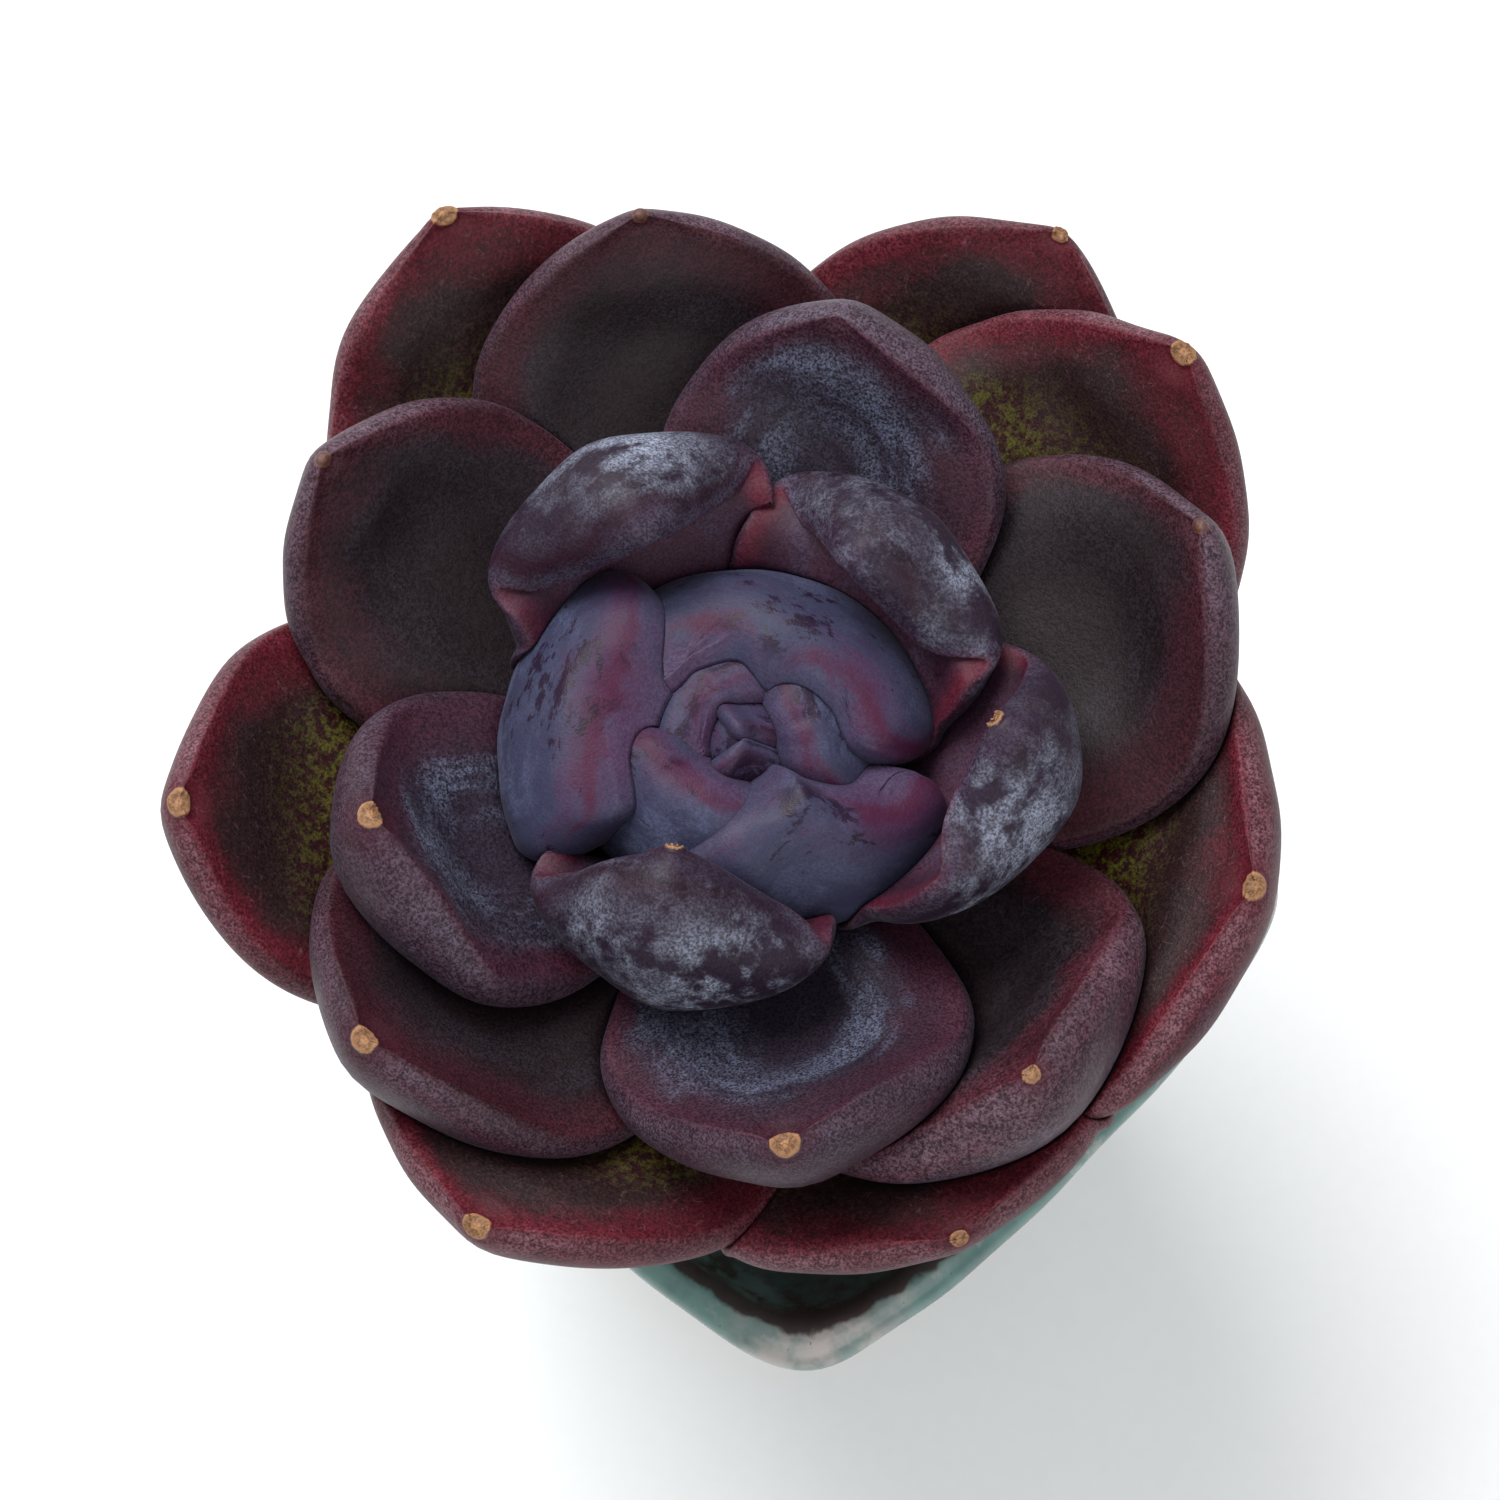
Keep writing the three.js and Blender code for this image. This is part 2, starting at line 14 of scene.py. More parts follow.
import bpy
import numpy as np
from mathutils import Matrix, Vector


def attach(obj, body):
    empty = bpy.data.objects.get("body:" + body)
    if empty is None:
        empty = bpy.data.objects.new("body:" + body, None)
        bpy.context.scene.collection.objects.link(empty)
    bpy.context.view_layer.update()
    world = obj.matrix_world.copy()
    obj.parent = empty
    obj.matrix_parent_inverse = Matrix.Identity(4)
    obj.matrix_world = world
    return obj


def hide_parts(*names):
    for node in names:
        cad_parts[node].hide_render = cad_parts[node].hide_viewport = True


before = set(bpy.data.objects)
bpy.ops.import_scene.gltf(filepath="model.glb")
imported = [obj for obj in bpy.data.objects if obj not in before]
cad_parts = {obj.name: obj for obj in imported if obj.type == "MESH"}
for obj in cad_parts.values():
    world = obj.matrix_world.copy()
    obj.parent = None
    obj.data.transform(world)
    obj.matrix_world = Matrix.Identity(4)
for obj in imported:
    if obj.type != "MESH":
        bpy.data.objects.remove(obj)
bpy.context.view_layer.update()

LOG = logging.getLogger("echeveria")
MM = 0.001
BODY = "root"
PLANT = (5.0, -4.4)  # where the rosette's axis stands, mm

Colour = tuple[float, float, float]
Band = tuple[float, float, float, float]
Socket = bpy.types.NodeSocket


def paint(red: float, green: float, blue: float) -> Colour:
    """A display colour as a linear one: each channel over 255, raised by the sRGB curve.

    Args:
        red: Red, 0 to 255.
        green: Green, 0 to 255.
        blue: Blue, 0 to 255.

    Returns:
        The linear colour.
    """
    def channel(value: float) -> float:
        """One channel made linear."""
        share = value / 255
        return share / 12.92 if share <= 0.04045 else ((share + 0.055) / 1.055) ** 2.4
    return channel(red), channel(green), channel(blue)


def smooth(values: np.ndarray, low: float, high: float) -> np.ndarray:
    """A smooth step: 0 below low, 1 above high, and 3t^2 - 2t^3 between them."""
    t = np.clip((values - low) / (high - low), 0, 1)
    return t * t * (3 - 2 * t)


def bell(values: np.ndarray, middle: float, width: float) -> np.ndarray:
    """A bell: the exponential of minus the squared distance from the middle, in widths."""
    return np.exp(-(((values - middle) / width) ** 2))


def ripple(u: np.ndarray, v: np.ndarray, wavelength: float, seed: int, waves: int = 7) -> np.ndarray:
    """A seeded soft relief: a sum of sines of u and v with random headings, about -1 to 1.

    Args:
        u: First coordinate of each point, mm.
        v: Second coordinate of each point, mm.
        wavelength: Mean length of a wave, mm.
        seed: Seed of the random draw.
        waves: Number of sines.

    Returns:
        The height at each point.
    """
    draw = np.random.default_rng(seed)
    total = np.zeros(np.broadcast(u, v).shape)
    for heading, phase, stretch in draw.random((waves, 3)):
        turn = heading * 2 * math.pi
        pitch = 2 * math.pi / (wavelength * (0.6 + 0.9 * stretch))
        total += np.sin(pitch * (u * math.cos(turn) + v * math.sin(turn)) + phase * 2 * math.pi)
    return total / math.sqrt(waves)


def grid_normals(points: np.ndarray) -> np.ndarray:
    """Unit normals of a grid whose second parameter closes on itself.

    The normal is the cross product of the differences along the two parameters, turned so that it
    points away from the middle of its ring on the whole.

    Args:
        points: Grid of points, (rings, around, 3).

    Returns:
        Unit normals, (rings, around, 3).
    """
    along = np.gradient(points, axis=0)
    across = np.roll(points, -1, axis=1) - np.roll(points, 1, axis=1)
    normals = np.cross(along, across)
    normals /= np.maximum(np.linalg.norm(normals, axis=2, keepdims=True), 1e-9)
    outward = points - points.mean(axis=1, keepdims=True)
    return normals if np.sum(outward * normals) > 0 else -normals


def circle(count: int) -> np.ndarray:
    """Evenly spaced angles once round, radians."""
    return np.arange(count) / count * 2 * math.pi


def run_along(points: np.ndarray) -> np.ndarray:
    """The length of a line of points up to each of them."""
    return np.concatenate([[0], np.cumsum(np.linalg.norm(np.diff(points, axis=0), axis=1))])


def ring_middles(rings: np.ndarray) -> np.ndarray:
    """The middles of a grid's first and last ring, (2, 3)."""
    return np.stack([rings[0].mean(axis=0), rings[-1].mean(axis=0)])


def ring_quads(numbers: np.ndarray) -> np.ndarray:
    """Quads between neighbouring closed rings of point numbers, (n, 4)."""
    beside = np.roll(numbers, -1, axis=1)
    return np.stack([numbers[:-1], beside[:-1], beside[1:], numbers[1:]], axis=-1).reshape(-1, 4)


@dataclass
class Skin:
    """A closed surface: rings of points, with an end point past the first and the last ring.

    Where ends is None the last ring joins the first, as on a pot's wall.
    """

    rings: np.ndarray
    ends: np.ndarray | None = None
    measures: dict[str, np.ndarray] = field(default_factory=dict)

    def faces(self) -> tuple[np.ndarray, np.ndarray]:
        """Quads between neighbouring rings, and fans of triangles round the two end points.

        Returns:
            The quads, (n, 4), and the triangles, (m, 3), as point numbers.
        """
        count, around = self.rings.shape[:2]
        here = np.arange(count * around).reshape(count, around)
        if self.ends is None:
            return ring_quads(np.concatenate([here, here[:1]])), np.zeros((0, 3), int)
        beside = np.roll(here, -1, axis=1)
        first = np.full(around, count * around)
        fans = [np.stack([first, beside[0], here[0]], -1), np.stack([first + 1, here[-1], beside[-1]], -1)]
        return ring_quads(here), np.concatenate(fans)

    def closed(self) -> tuple[np.ndarray, np.ndarray, np.ndarray]:
        """The points and faces, turned round where the volume, the sum of a . (b x c), is below 0.

        Returns:
            The points, (n, 3), the quads and the triangles.
        """
        quads, fans = self.faces()
        points = self.rings.reshape(-1, 3)
        if self.ends is not None:
            points = np.concatenate([points, self.ends])
        triangles = np.concatenate([quads[:, :3], quads[:, [0, 2, 3]], fans])
        a, b, c = (points[triangles[:, i]] for i in range(3))
        if np.sum(a * np.cross(b, c)) < 0:
            quads, fans = quads[:, ::-1], fans[:, ::-1]
        return points, quads, fans

    def put(self, name: str, material: bpy.types.Material) -> bpy.types.Object:
        """Makes the mesh object, in metres, with faces pointing out and its measures as attributes.

        Args:
            name: The piece's name.
            material: Its finish.

        Returns:
            The new object.
        """
        points, quads, fans = self.closed()
        piece = put_mesh(name, points, quads.tolist() + fans.tolist(), material)
        for title, values in self.measures.items():
            flat = values.reshape(-1, 3)
            if self.ends is not None:
                flat = np.concatenate([flat, ring_middles(values)])
            layer = piece.data.attributes.new(title, "FLOAT_VECTOR", "POINT")
            layer.data.foreach_set("vector", flat.astype(np.float32).ravel())
        return piece


def put_mesh(name: str, points: np.ndarray, faces: list, material: bpy.types.Material) -> bpy.types.Object:
    """A smooth mesh object at the origin, from points in millimetres.

    Args:
        name: The piece's name.
        points: Its points, (n, 3).
        faces: Its faces, as lists of point numbers.
        material: Its finish.

    Returns:
        The new object.
    """
    mesh = bpy.data.meshes.new(name)
    mesh.from_pydata((points * MM).tolist(), [], faces)
    mesh.polygons.foreach_set("use_smooth", np.ones(len(mesh.polygons), bool))
    mesh.materials.append(material)
    mesh.update()
    piece = bpy.data.objects.new(name, mesh)
    bpy.context.scene.collection.objects.link(piece)
    return piece


def join_frame(piece: bpy.types.Object, node: str, slot: str) -> None:
    """Lets a piece ride on the body, stand for its node, and be reported with its slot.

    Args:
        piece: The new piece.
        node: The frame's node that it stands for.
        slot: The record's material slot.
    """
    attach(piece, BODY)
    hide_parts(node)
    LOG.info("%s for %s: %d points, slot %s", piece.name, node, len(piece.data.vertices), slot)


class Finish:
    """A material under construction: each method adds a node and returns its output socket."""

    def __init__(self, name: str) -> None:
        """Starts an empty material.

        Args:
            name: The material's name.
        """
        self.material = bpy.data.materials.new(name)
        self.material.use_nodes = True
        self.tree = self.material.node_tree
        self.tree.nodes.clear()
        self.place = self.add("ShaderNodeTexCoord").outputs["Object"]

    def add(self, kind: str, **settings: object) -> bpy.types.Node:
        """Adds a node and sets its properties.

        Args:
            kind: The node's type name.
            **settings: Properties and their values.

        Returns:
            The node.
        """
        node = self.tree.nodes.new(kind)
        for key, value in settings.items():
            setattr(node, key, value)
        return node

    def feed(self, target: Socket, value: object) -> None:
        """Links a socket to an input, or sets the input to a plain value or an opaque colour."""
        if isinstance(value, bpy.types.NodeSocket):
            self.tree.links.new(value, target)
        else:
            target.default_value = (*value, 1.0) if target.type == "RGBA" else value

    def dial(self, node: bpy.types.Node, values: dict[str | int, object]) -> None:
        """Feeds several inputs of a node, by name or number."""
        for key, value in values.items():
            self.feed(node.inputs[key], value)

    def math(self, operation: str, *values: object) -> Socket:
        """One operation over several values in a row.

        Args:
            operation: The node's operation, such as ADD, MULTIPLY or MAXIMUM.
            *values: Sockets or plain numbers.

        Returns:
            The result.
        """
        result = values[0]
        for value in values[1:]:
            node = self.add("ShaderNodeMath", operation=operation)
            self.dial(node, {0: result, 1: value})
            result = node.outputs[0]
        return result

    def times(self, *factors: object) -> Socket:
        """The product of several values."""
        return self.math("MULTIPLY", *factors)

    def plus(self, *terms: object) -> Socket:
        """The sum of several values."""
        return self.math("ADD", *terms)

    def attribute(self, name: str) -> tuple[Socket, Socket, Socket]:
        """The three numbers of a point attribute."""
        node = self.add("ShaderNodeAttribute", attribute_name=name)
        split = self.add("ShaderNodeSeparateXYZ")
        self.feed(split.inputs[0], node.outputs["Vector"])
        return tuple(split.outputs)

    def join(self, *numbers: object) -> Socket:
        """Three numbers as a vector."""
        node = self.add("ShaderNodeCombineXYZ")
        self.dial(node, dict(enumerate(numbers)))
        return node.outputs[0]

    def noise(self, size: float, seed: float, detail: float = 2.0, rough: float = 0.5,
              place: Socket | None = None, unit: float = MM) -> Socket:
        """Noise from 0 to 1 with features of a size in mm, from the object's own place by default.

        Args:
            size: Size of a feature.
            seed: Slice of the noise to take.
            detail: Octaves of finer noise.
            rough: Strength of each finer octave.
            place: Vector to read in place of the object's place.
            unit: Metres, or other units of place, in one unit of size.

        Returns:
            The noise's value.
        """
        node = self.add("ShaderNodeTexNoise", noise_dimensions="4D")
        self.dial(node, {"Vector": place or self.place, "W": seed, "Scale": 1 / (size * unit),
                         "Detail": detail, "Roughness": rough})
        return node.outputs[0]

    def drawn_out(self, across: Socket, along: Socket, inset: Socket, size: tuple[float, float]) -> Socket:
        """A place for noise along a margin: inset over the width in size, the rest over its length."""
        width, length = size
        return self.join(self.times(inset, 1 / width), self.times(across, 1 / length),
                         self.times(along, 1 / length))

    def cells(self, size: float, seed: float, feature: str = "F1") -> Socket:
        """Distance to the nearest of scattered points, or with DISTANCE_TO_EDGE to a border between them.

        Args:
            size: Mean distance of the points, mm.
            seed: Slice of the pattern to take.
            feature: The node's feature.

        Returns:
            The distance, in sizes.
        """
        node = self.add("ShaderNodeTexVoronoi", voronoi_dimensions="4D", feature=feature)
        self.dial(node, {"Vector": self.place, "W": seed, "Scale": 1 / (size * MM)})
        return node.outputs["Distance"]

    def step(self, value: Socket, low: float, high: float) -> Socket:
        """A smooth step from 0 at low to 1 at high.

        Args:
            value: What is stepped.
            low: Where the step is 0.
            high: Where it is 1. It may be the smaller, for a step down.

        Returns:
            The step.
        """
        node = self.add("ShaderNodeMapRange", interpolation_type="SMOOTHSTEP")
        start = float(low > high)
        self.dial(node, {"Value": value, "From Min": min(low, high), "From Max": max(low, high),
                         "To Min": start, "To Max": 1 - start})
        return node.outputs["Result"]

    def hump(self, value: Socket, start: float, full: float, fade: float, end: float) -> Socket:
        """A band that rises from start to full and falls from fade to end."""
        return self.times(self.step(value, start, full), self.step(value, end, fade))

    def mix(self, share: object, first: object, second: object) -> Socket:
        """A blend of two colours: the first at share 0 and the second at share 1."""
        node = self.add("ShaderNodeMix", data_type="RGBA")
        self.dial(node, {0: share, 6: first, 7: second})
        return node.outputs[2]

    def shade(self, colour: object, amount: object) -> Socket:
        """A colour made lighter or darker by a factor."""
        node = self.add("ShaderNodeVectorMath", operation="SCALE")
        self.dial(node, {0: colour, "Scale": amount})
        return node.outputs[0]

    def spread(self, value: Socket, low: float, high: float) -> Socket:
        """A value from 0 to 1 stretched to run from low to high."""
        return self.plus(self.times(value, high - low), low)

    def bump(self, height: Socket, deep: float) -> Socket:
        """A bumped normal from a height of 0 to 1 that stands for so many mm."""
        node = self.add("ShaderNodeBump")
        self.dial(node, {"Distance": deep * MM, "Height": height})
        return node.outputs["Normal"]

    def finish(self, colour: object, rough: object, normal: Socket | None = None,
               constants: dict[str, object] | None = None) -> bpy.types.Material:
        """Closes the material with one shader.

        Args:
            colour: Base colour.
            rough: Roughness.
            normal: Bumped normal, if any.
            constants: Other values of the shader, set on its own sockets.

        Returns:
            The material.
        """
        shader = self.add("ShaderNodeBsdfPrincipled")
        self.dial(shader, {"Base Color": colour, "Roughness": rough, **(constants or {})})
        if normal is not None:
            self.feed(shader.inputs["Normal"], normal)
        out = self.add("ShaderNodeOutputMaterial")
        self.feed(out.inputs["Surface"], shader.outputs[0])
        return self.material


# Leaves


class Age(Enum):
    """How old a leaf is, which gives its slot in the record."""

    YOUNG = "young_leaf"
    MIDDLE = "middle_leaf"
    OLD = "old_leaf"


class Tip(Enum):
    """How a leaf's tip looks: the radius of its corky scar or nub in mm, and how corky it is."""

    WORN = (1.25, 1.0)
    SMALL = (0.8, 0.9)
    NUB = (0.75, 0.25)
    PLAIN = (0.5, 0.0)

    @property
    def radius(self) -> float:
        """Radius of the scar or nub, mm."""
        return self.value[0]

    @property
    def cork(self) -> float:
        """Share of cork in the tip's colour and relief."""
        return self.value[1]


@dataclass(frozen=True)
class Ground:
    """What a leaf's marks are read from.

    across and along are mm over the blade's face, inset is mm from the margin and from_tip mm from the
    tip. upper is 1 on the upper face and 0 on the lower, and reach is the share of the way to the tip.
    The noises run from 0 to 1: grain, fleck and mottle from fine to coarse, cloud over half a leaf,
    streak along the margin, and dust in crumbs. edge and near_edge are inset with a strong and a slight
    wander.
    """

    across: Socket
    along: Socket
    inset: Socket
    upper: Socket
    reach: Socket
    from_tip: Socket
    grain: Socket
    fleck: Socket
    mottle: Socket
    cloud: Socket
    streak: Socket
    dust: Socket
    edge: Socket
    near_edge: Socket


@dataclass(frozen=True)
class LeafCoat:
    """A leaf's finish: its colours, how strong each mark is, from 0 to 1, and where it lies.

    A field that ends in _at gives the mm from the margin at which a mark starts, is full, fades and ends.
    dusty is how far in the powder on the margin reaches, mm. A noise's size and the width and length of
    the streaks and scuffs are mm too.
    """

    upper: Colour = paint(27, 18, 22)
    lower: Colour = paint(46, 26, 36)
    middle: Colour = paint(64, 60, 74)
    band: Colour = paint(58, 13, 28)
    blush: Colour = paint(58, 20, 34)
    rim: Colour = paint(104, 84, 96)
    frost: Colour = paint(96, 94, 110)
    # green: the foot's olive, partly its own colour and partly painted glow of light shining through the leaf
    green: Colour = paint(78, 74, 20)
    dark: Colour = paint(22, 14, 18)
    # Bright red at the very margin: partly the margin's own red and partly painted glow of light shining
    # through the thin margin.
    flush_and_glow: Colour = paint(104, 17, 37)
    cork: Colour = paint(160, 118, 84)
    cork_ring: Colour = paint(74, 48, 36)
    sheen_tint: Colour = paint(200, 190, 205)
    flush_and_glow_share: float = 0.12
    bloom: float = 0.12
    banding: float = 0.6
    rimming: float = 0.5
    dusty: float = 3.6
    frosting: float = 0.45
    green_and_glow_share: float = 0.0
    scuffs: float = 0.25
    speckle: float = 0.6
    fibres: float = 0.0
    sheen: float = 0.04
    rough: float = 0.5
    haze_at: Band = (2.0, 4.5, 7.0, 12.0)
    band_at: Band = (-3.0, 0.0, 1.5, 5.5)
    flush_and_glow_at: Band = (-0.8, 0.0, 0.7, 2.6)
    blush_at: Band = (-2.0, 0.0, 0.8, 5.0)
    line_at: Band = (0.5, 1.1, 1.4, 2.6)
    grain_size: float = 0.22
    fleck_size: float = 0.7
    mottle_size: float = 2.4
    cloud_size: float = 11.0
    fibre_size: float = 1.5
    streak_size: tuple[float, float] = (2.6, 11.0)
    scuff_size: tuple[float, float] = (1.7, 3.4)
    relief: float = 0.1

    def ground(self, work: Finish, seed: float) -> Ground:
        """Reads the blade's measures and draws the noises.

        Args:
            work: The material.
            seed: Slice of every noise.

        Returns:
            The sockets.
        """
        across, along, inset = work.attribute("blade_place")
        upper, reach, from_tip = work.attribute("blade_side")
        grain = work.noise(self.grain_size, seed, detail=2.0, rough=0.7)
        fleck = work.noise(self.fleck_size, seed + 1.3, detail=3.0, rough=0.7)
        mottle = work.noise(self.mottle_size, seed + 3.1, detail=5.0, rough=0.62)
        cloud = work.step(work.noise(self.cloud_size, seed + 5.7, detail=2.0), 0.36, 0.64)
        streak = work.noise(1.0, seed + 9.2, detail=4.0, rough=0.6, unit=1.0,
                            place=work.drawn_out(across, along, inset, self.streak_size))
        dust = work.step(work.plus(work.times(grain, 0.6), work.times(fleck, 0.4)), 0.36, 0.62)
        edge = work.plus(inset, work.plus(work.spread(cloud, -1.6, 1.6), work.spread(mottle, -1.6, 1.6)))
        near_edge = work.plus(inset, work.spread(mottle, -1.1, 1.1))
        return Ground(across, along, inset, upper, reach, from_tip, grain, fleck, mottle, cloud, streak, dust,
                      edge, near_edge)

    def face(self, work: Finish, on: Ground) -> Socket:
        """The upper face: olive towards the foot, then haze, band, a bright red edge and powder towards the
        margin.

        The olive foot is partly its own green and partly painted glow of light shining through the leaf. The
        bright red at the very margin is partly its own red and partly painted glow of light shining through
        the thin margin.

        Args:
            work: The material.
            on: What the marks are read from.

        Returns:
            The colour.
        """
        # Painted glow: the olive foot is partly the leaf's own green and partly light shining through the
        # leaf.
        olive = work.mix(work.step(on.fleck, 0.43, 0.58), work.shade(self.band, 0.35), self.green)
        green_and_glow_mask = work.times(self.green_and_glow_share, work.step(on.reach, 0.88, 0.56), work.step(on.edge, 3.0, 7.5))
        face = work.mix(green_and_glow_mask, self.upper, olive)
        haze = work.times(self.bloom, work.hump(on.edge, *self.haze_at), work.step(on.streak, 0.4, 0.6),
                          work.spread(on.dust, 0.05, 1.25), work.step(on.reach, 0.15, 0.45))
        face = work.mix(haze, face, self.middle)
        banded = work.times(self.banding, work.hump(on.edge, *self.band_at),
                            work.spread(on.streak, 0.2, 1.3))
        face = work.mix(banded, face, self.band)
        # Painted glow: the bright red at the very margin is partly its own red and partly light shining
        # through the thin margin.
        flush_and_glow_mask = work.times(self.flush_and_glow_share, work.hump(on.near_edge, *self.flush_and_glow_at),
                             work.spread(on.cloud, 0.35, 1.0))
        face = work.mix(flush_and_glow_mask, face, self.flush_and_glow)
        powder = work.times(self.rimming, work.spread(on.dust, 0.0, 1.2), work.step(on.reach, 0.3, 0.8))
        thin = work.times(0.35, work.step(on.near_edge, 1.0, -0.8))
        broad = work.times(0.3, work.step(on.near_edge, self.dusty, -0.5), work.spread(on.cloud, 0.1, 1.0))
        return work.mix(work.times(powder, work.math("MAXIMUM", thin, broad)), face, self.rim)

    def back(self, work: Finish, on: Ground) -> Socket:
        """The lower face: clumps of frost, then blush, a dark line and powder towards the margin.

        Args:
            work: The material.
            on: What the marks are read from.

        Returns:
            The colour.
        """
        patches = work.plus(work.times(on.mottle, 0.45), work.times(on.streak, 0.55))
        clumps = work.times(work.step(patches, 0.44, 0.54), work.spread(on.cloud, 0.25, 1.2),
                            work.spread(work.step(on.near_edge, 1.5, 7.0), 0.4, 1.0))
        frosted = work.times(self.frosting, clumps, work.spread(on.dust, 0.3, 1.0))
        back = work.mix(frosted, self.lower, self.frost)
        blushed = work.times(self.banding, work.hump(on.edge, *self.blush_at),
                             work.step(on.streak, 0.34, 0.64))
        back = work.mix(work.times(0.75, blushed), back, self.blush)
        line = work.times(0.7, work.hump(on.near_edge, *self.line_at), work.step(on.streak, 0.44, 0.6))
        back = work.mix(work.times(self.banding, line), back, self.band)
        powder = work.times(self.rimming, work.spread(on.dust, 0.12, 0.75),
                            work.step(on.near_edge, self.dusty, 0.3), work.spread(on.cloud, 0.5, 1.2))
        return work.mix(powder, back, self.rim)

    def rubbed(self, work: Finish, on: Ground, seed: float) -> Socket:
        """How far the bloom is rubbed off: scuffs along the margin, more of them near the tip.

        Args:
            work: The material.
            on: What the marks are read from.
            seed: Slice of every noise.

        Returns:
            The share, 0 to 1.
        """
        place = work.drawn_out(on.across, on.along, on.inset, self.scuff_size)
        scuff = work.noise(1.0, seed + 13.0, detail=6.0, rough=0.75, place=place, unit=1.0)
        worn = work.plus(scuff, work.times(0.12, work.step(on.from_tip, 9.0, 2.0)))
        return work.times(self.scuffs, work.step(worn, 0.6, 0.66), work.step(on.inset, 0.2, 1.6))

    def corky(self, work: Finish, on: Ground, skin: Socket, tip: Tip) -> Socket:
        """The skin with the tip's scar: a halo, and grainy cork with a dark ring.

        Args:
            work: The material.
            on: What the marks are read from.
            skin: The colour so far.
            tip: The kind of tip.

        Returns:
            The colour.
        """
        size = tip.radius
        halo = work.times(0.5 * tip.cork, work.step(on.from_tip, 3.4 * size, 1.1 * size))
        skin = work.mix(halo, skin, self.band)
        ragged = work.plus(on.from_tip, work.spread(on.fleck, -0.35, 0.35))
        ring = work.hump(ragged, 0.25 * size, 0.45 * size, 0.6 * size, 0.85 * size)
        cork = work.mix(work.times(0.8, ring, work.step(on.grain, 0.3, 0.6)), self.cork, self.cork_ring)
        cork = work.shade(cork, work.spread(on.grain, 0.5, 1.5))
        return work.mix(work.times(tip.cork, work.step(ragged, 1.05 * size, 0.85 * size)), skin, cork)

    def material(self, name: str, tip: Tip, seed: float) -> bpy.types.Material:
        """The node material: both faces' colours, then scuffs, fibres, grain and the tip.

        Args:
            name: The material's name.
            tip: The kind of tip.
            seed: Slice of every noise, so that no two leaves are alike.

        Returns:
            The material.
        """
        work = Finish(name)
        on = self.ground(work, seed)
        skin = work.mix(on.upper, self.back(work, on), self.face(work, on))
        rubbed = self.rubbed(work, on, seed)
        skin = work.mix(rubbed, skin, self.dark)
        borders = work.step(work.cells(self.fibre_size, seed, "DISTANCE_TO_EDGE"), 0.03, 0.0)
        fibre = work.times(self.fibres, borders, work.step(on.fleck, 0.48, 0.62),
                           work.step(on.edge, 9.0, 5.0))
        skin = work.mix(fibre, skin, self.rim)
        skin = work.shade(skin, work.spread(work.step(on.grain, 0.34, 0.66), 1 - 0.9 * self.speckle,
                                            1 + 1.1 * self.speckle))
        skin = self.corky(work, on, skin, tip)
        dull = work.spread(on.mottle, self.rough - 0.08, self.rough + 0.12)
        waxy = work.plus(dull, work.times(rubbed, -0.12))
        pores = work.plus(work.times(on.grain, 0.4), work.times(on.fleck, 0.6))
        return work.finish(skin, waxy, work.bump(pores, self.relief),
                           {"Specular IOR Level": 0.2, "Sheen Weight": self.sheen, "Sheen Roughness": 0.35,
                            "Sheen Tint": self.sheen_tint})


YOUNG = LeafCoat(upper=paint(54, 26, 46), lower=paint(51, 52, 75), middle=paint(60, 58, 78),
                 dark=paint(28, 7, 30), band=paint(66, 2, 34), blush=paint(68, 22, 56),
                 rim=paint(104, 90, 118), frost=paint(84, 89, 116), bloom=0.5, flush_and_glow_share=0.5, banding=0.85,
                 rimming=0.2, dusty=1.6, frosting=0.8, scuffs=0.85, speckle=0.1, sheen=0.06)
HOOD = replace(YOUNG, upper=paint(64, 38, 54), lower=paint(36, 25, 40), frost=paint(136, 142, 160),
               band=paint(36, 6, 24), blush=paint(36, 12, 30), dark=paint(22, 9, 22), frosting=1.0,
               banding=1.0, rimming=0.25, scuffs=0.7, speckle=0.35)
MIDDLE = LeafCoat()
MISTY = replace(MIDDLE, upper=paint(38, 30, 42), middle=paint(76, 80, 98), rim=paint(92, 84, 100),
                bloom=0.75, dusty=7.0, rimming=0.5)
RUDDY = replace(MIDDLE, band=paint(72, 16, 32), blush=paint(62, 20, 36), rim=paint(116, 92, 102),
                banding=0.8, dusty=7.0, rimming=0.62, fibres=0.15)
# The old leaves' strong olive foot and bright red margin are partly painted glow of light shining through the
# leaf.
OLD = LeafCoat(upper=paint(33, 17, 19), lower=paint(62, 20, 30), middle=paint(58, 48, 50),
               band=paint(76, 12, 25), blush=paint(80, 18, 32), rim=paint(124, 90, 98),
               dark=paint(20, 10, 12), bloom=0.15, banding=0.75, rimming=0.55, dusty=2.4, frosting=0.3,
               green_and_glow_share=0.95, scuffs=0.2, fibres=0.2, flush_and_glow_share=0.45)


@dataclass(frozen=True)
class Blade:
    """One leaf's sizes.

    turn is in degrees off the golden angle, and tip is the tip's distance from the axis and its height.
    half is half the blade's width, slope the midrib's slope at the stem and at the tip, and hold how long
    it keeps each. wrap is how far the blade curls round its midrib, lean the tip's sideways offset, roll
    a twist along the blade, and blunt how late the tip thins out. margin is the power of the section's
    curve: the lower, the thicker the margins. widest is where along the blade it is widest, and plump how
    much its upper face swells. point is how far the tip is drawn out, mm.
    """

    turn: float
    tip: tuple[float, float]
    half: float
    slope: tuple[float, float]
    hold: tuple[float, float]
    wrap: float
    lean: float = 0.0
    roll: float = 0.0
    blunt: float = 5.0
    margin: float = 0.8
    widest: float = 0.6
    plump: float = 1.0
    point: float = 1.3


@dataclass(frozen=True)
class Leaf:
    """A leaf of the rosette: its blade, its coat and its tip."""

    blade: Blade
    coat: LeafCoat
    tip: Tip


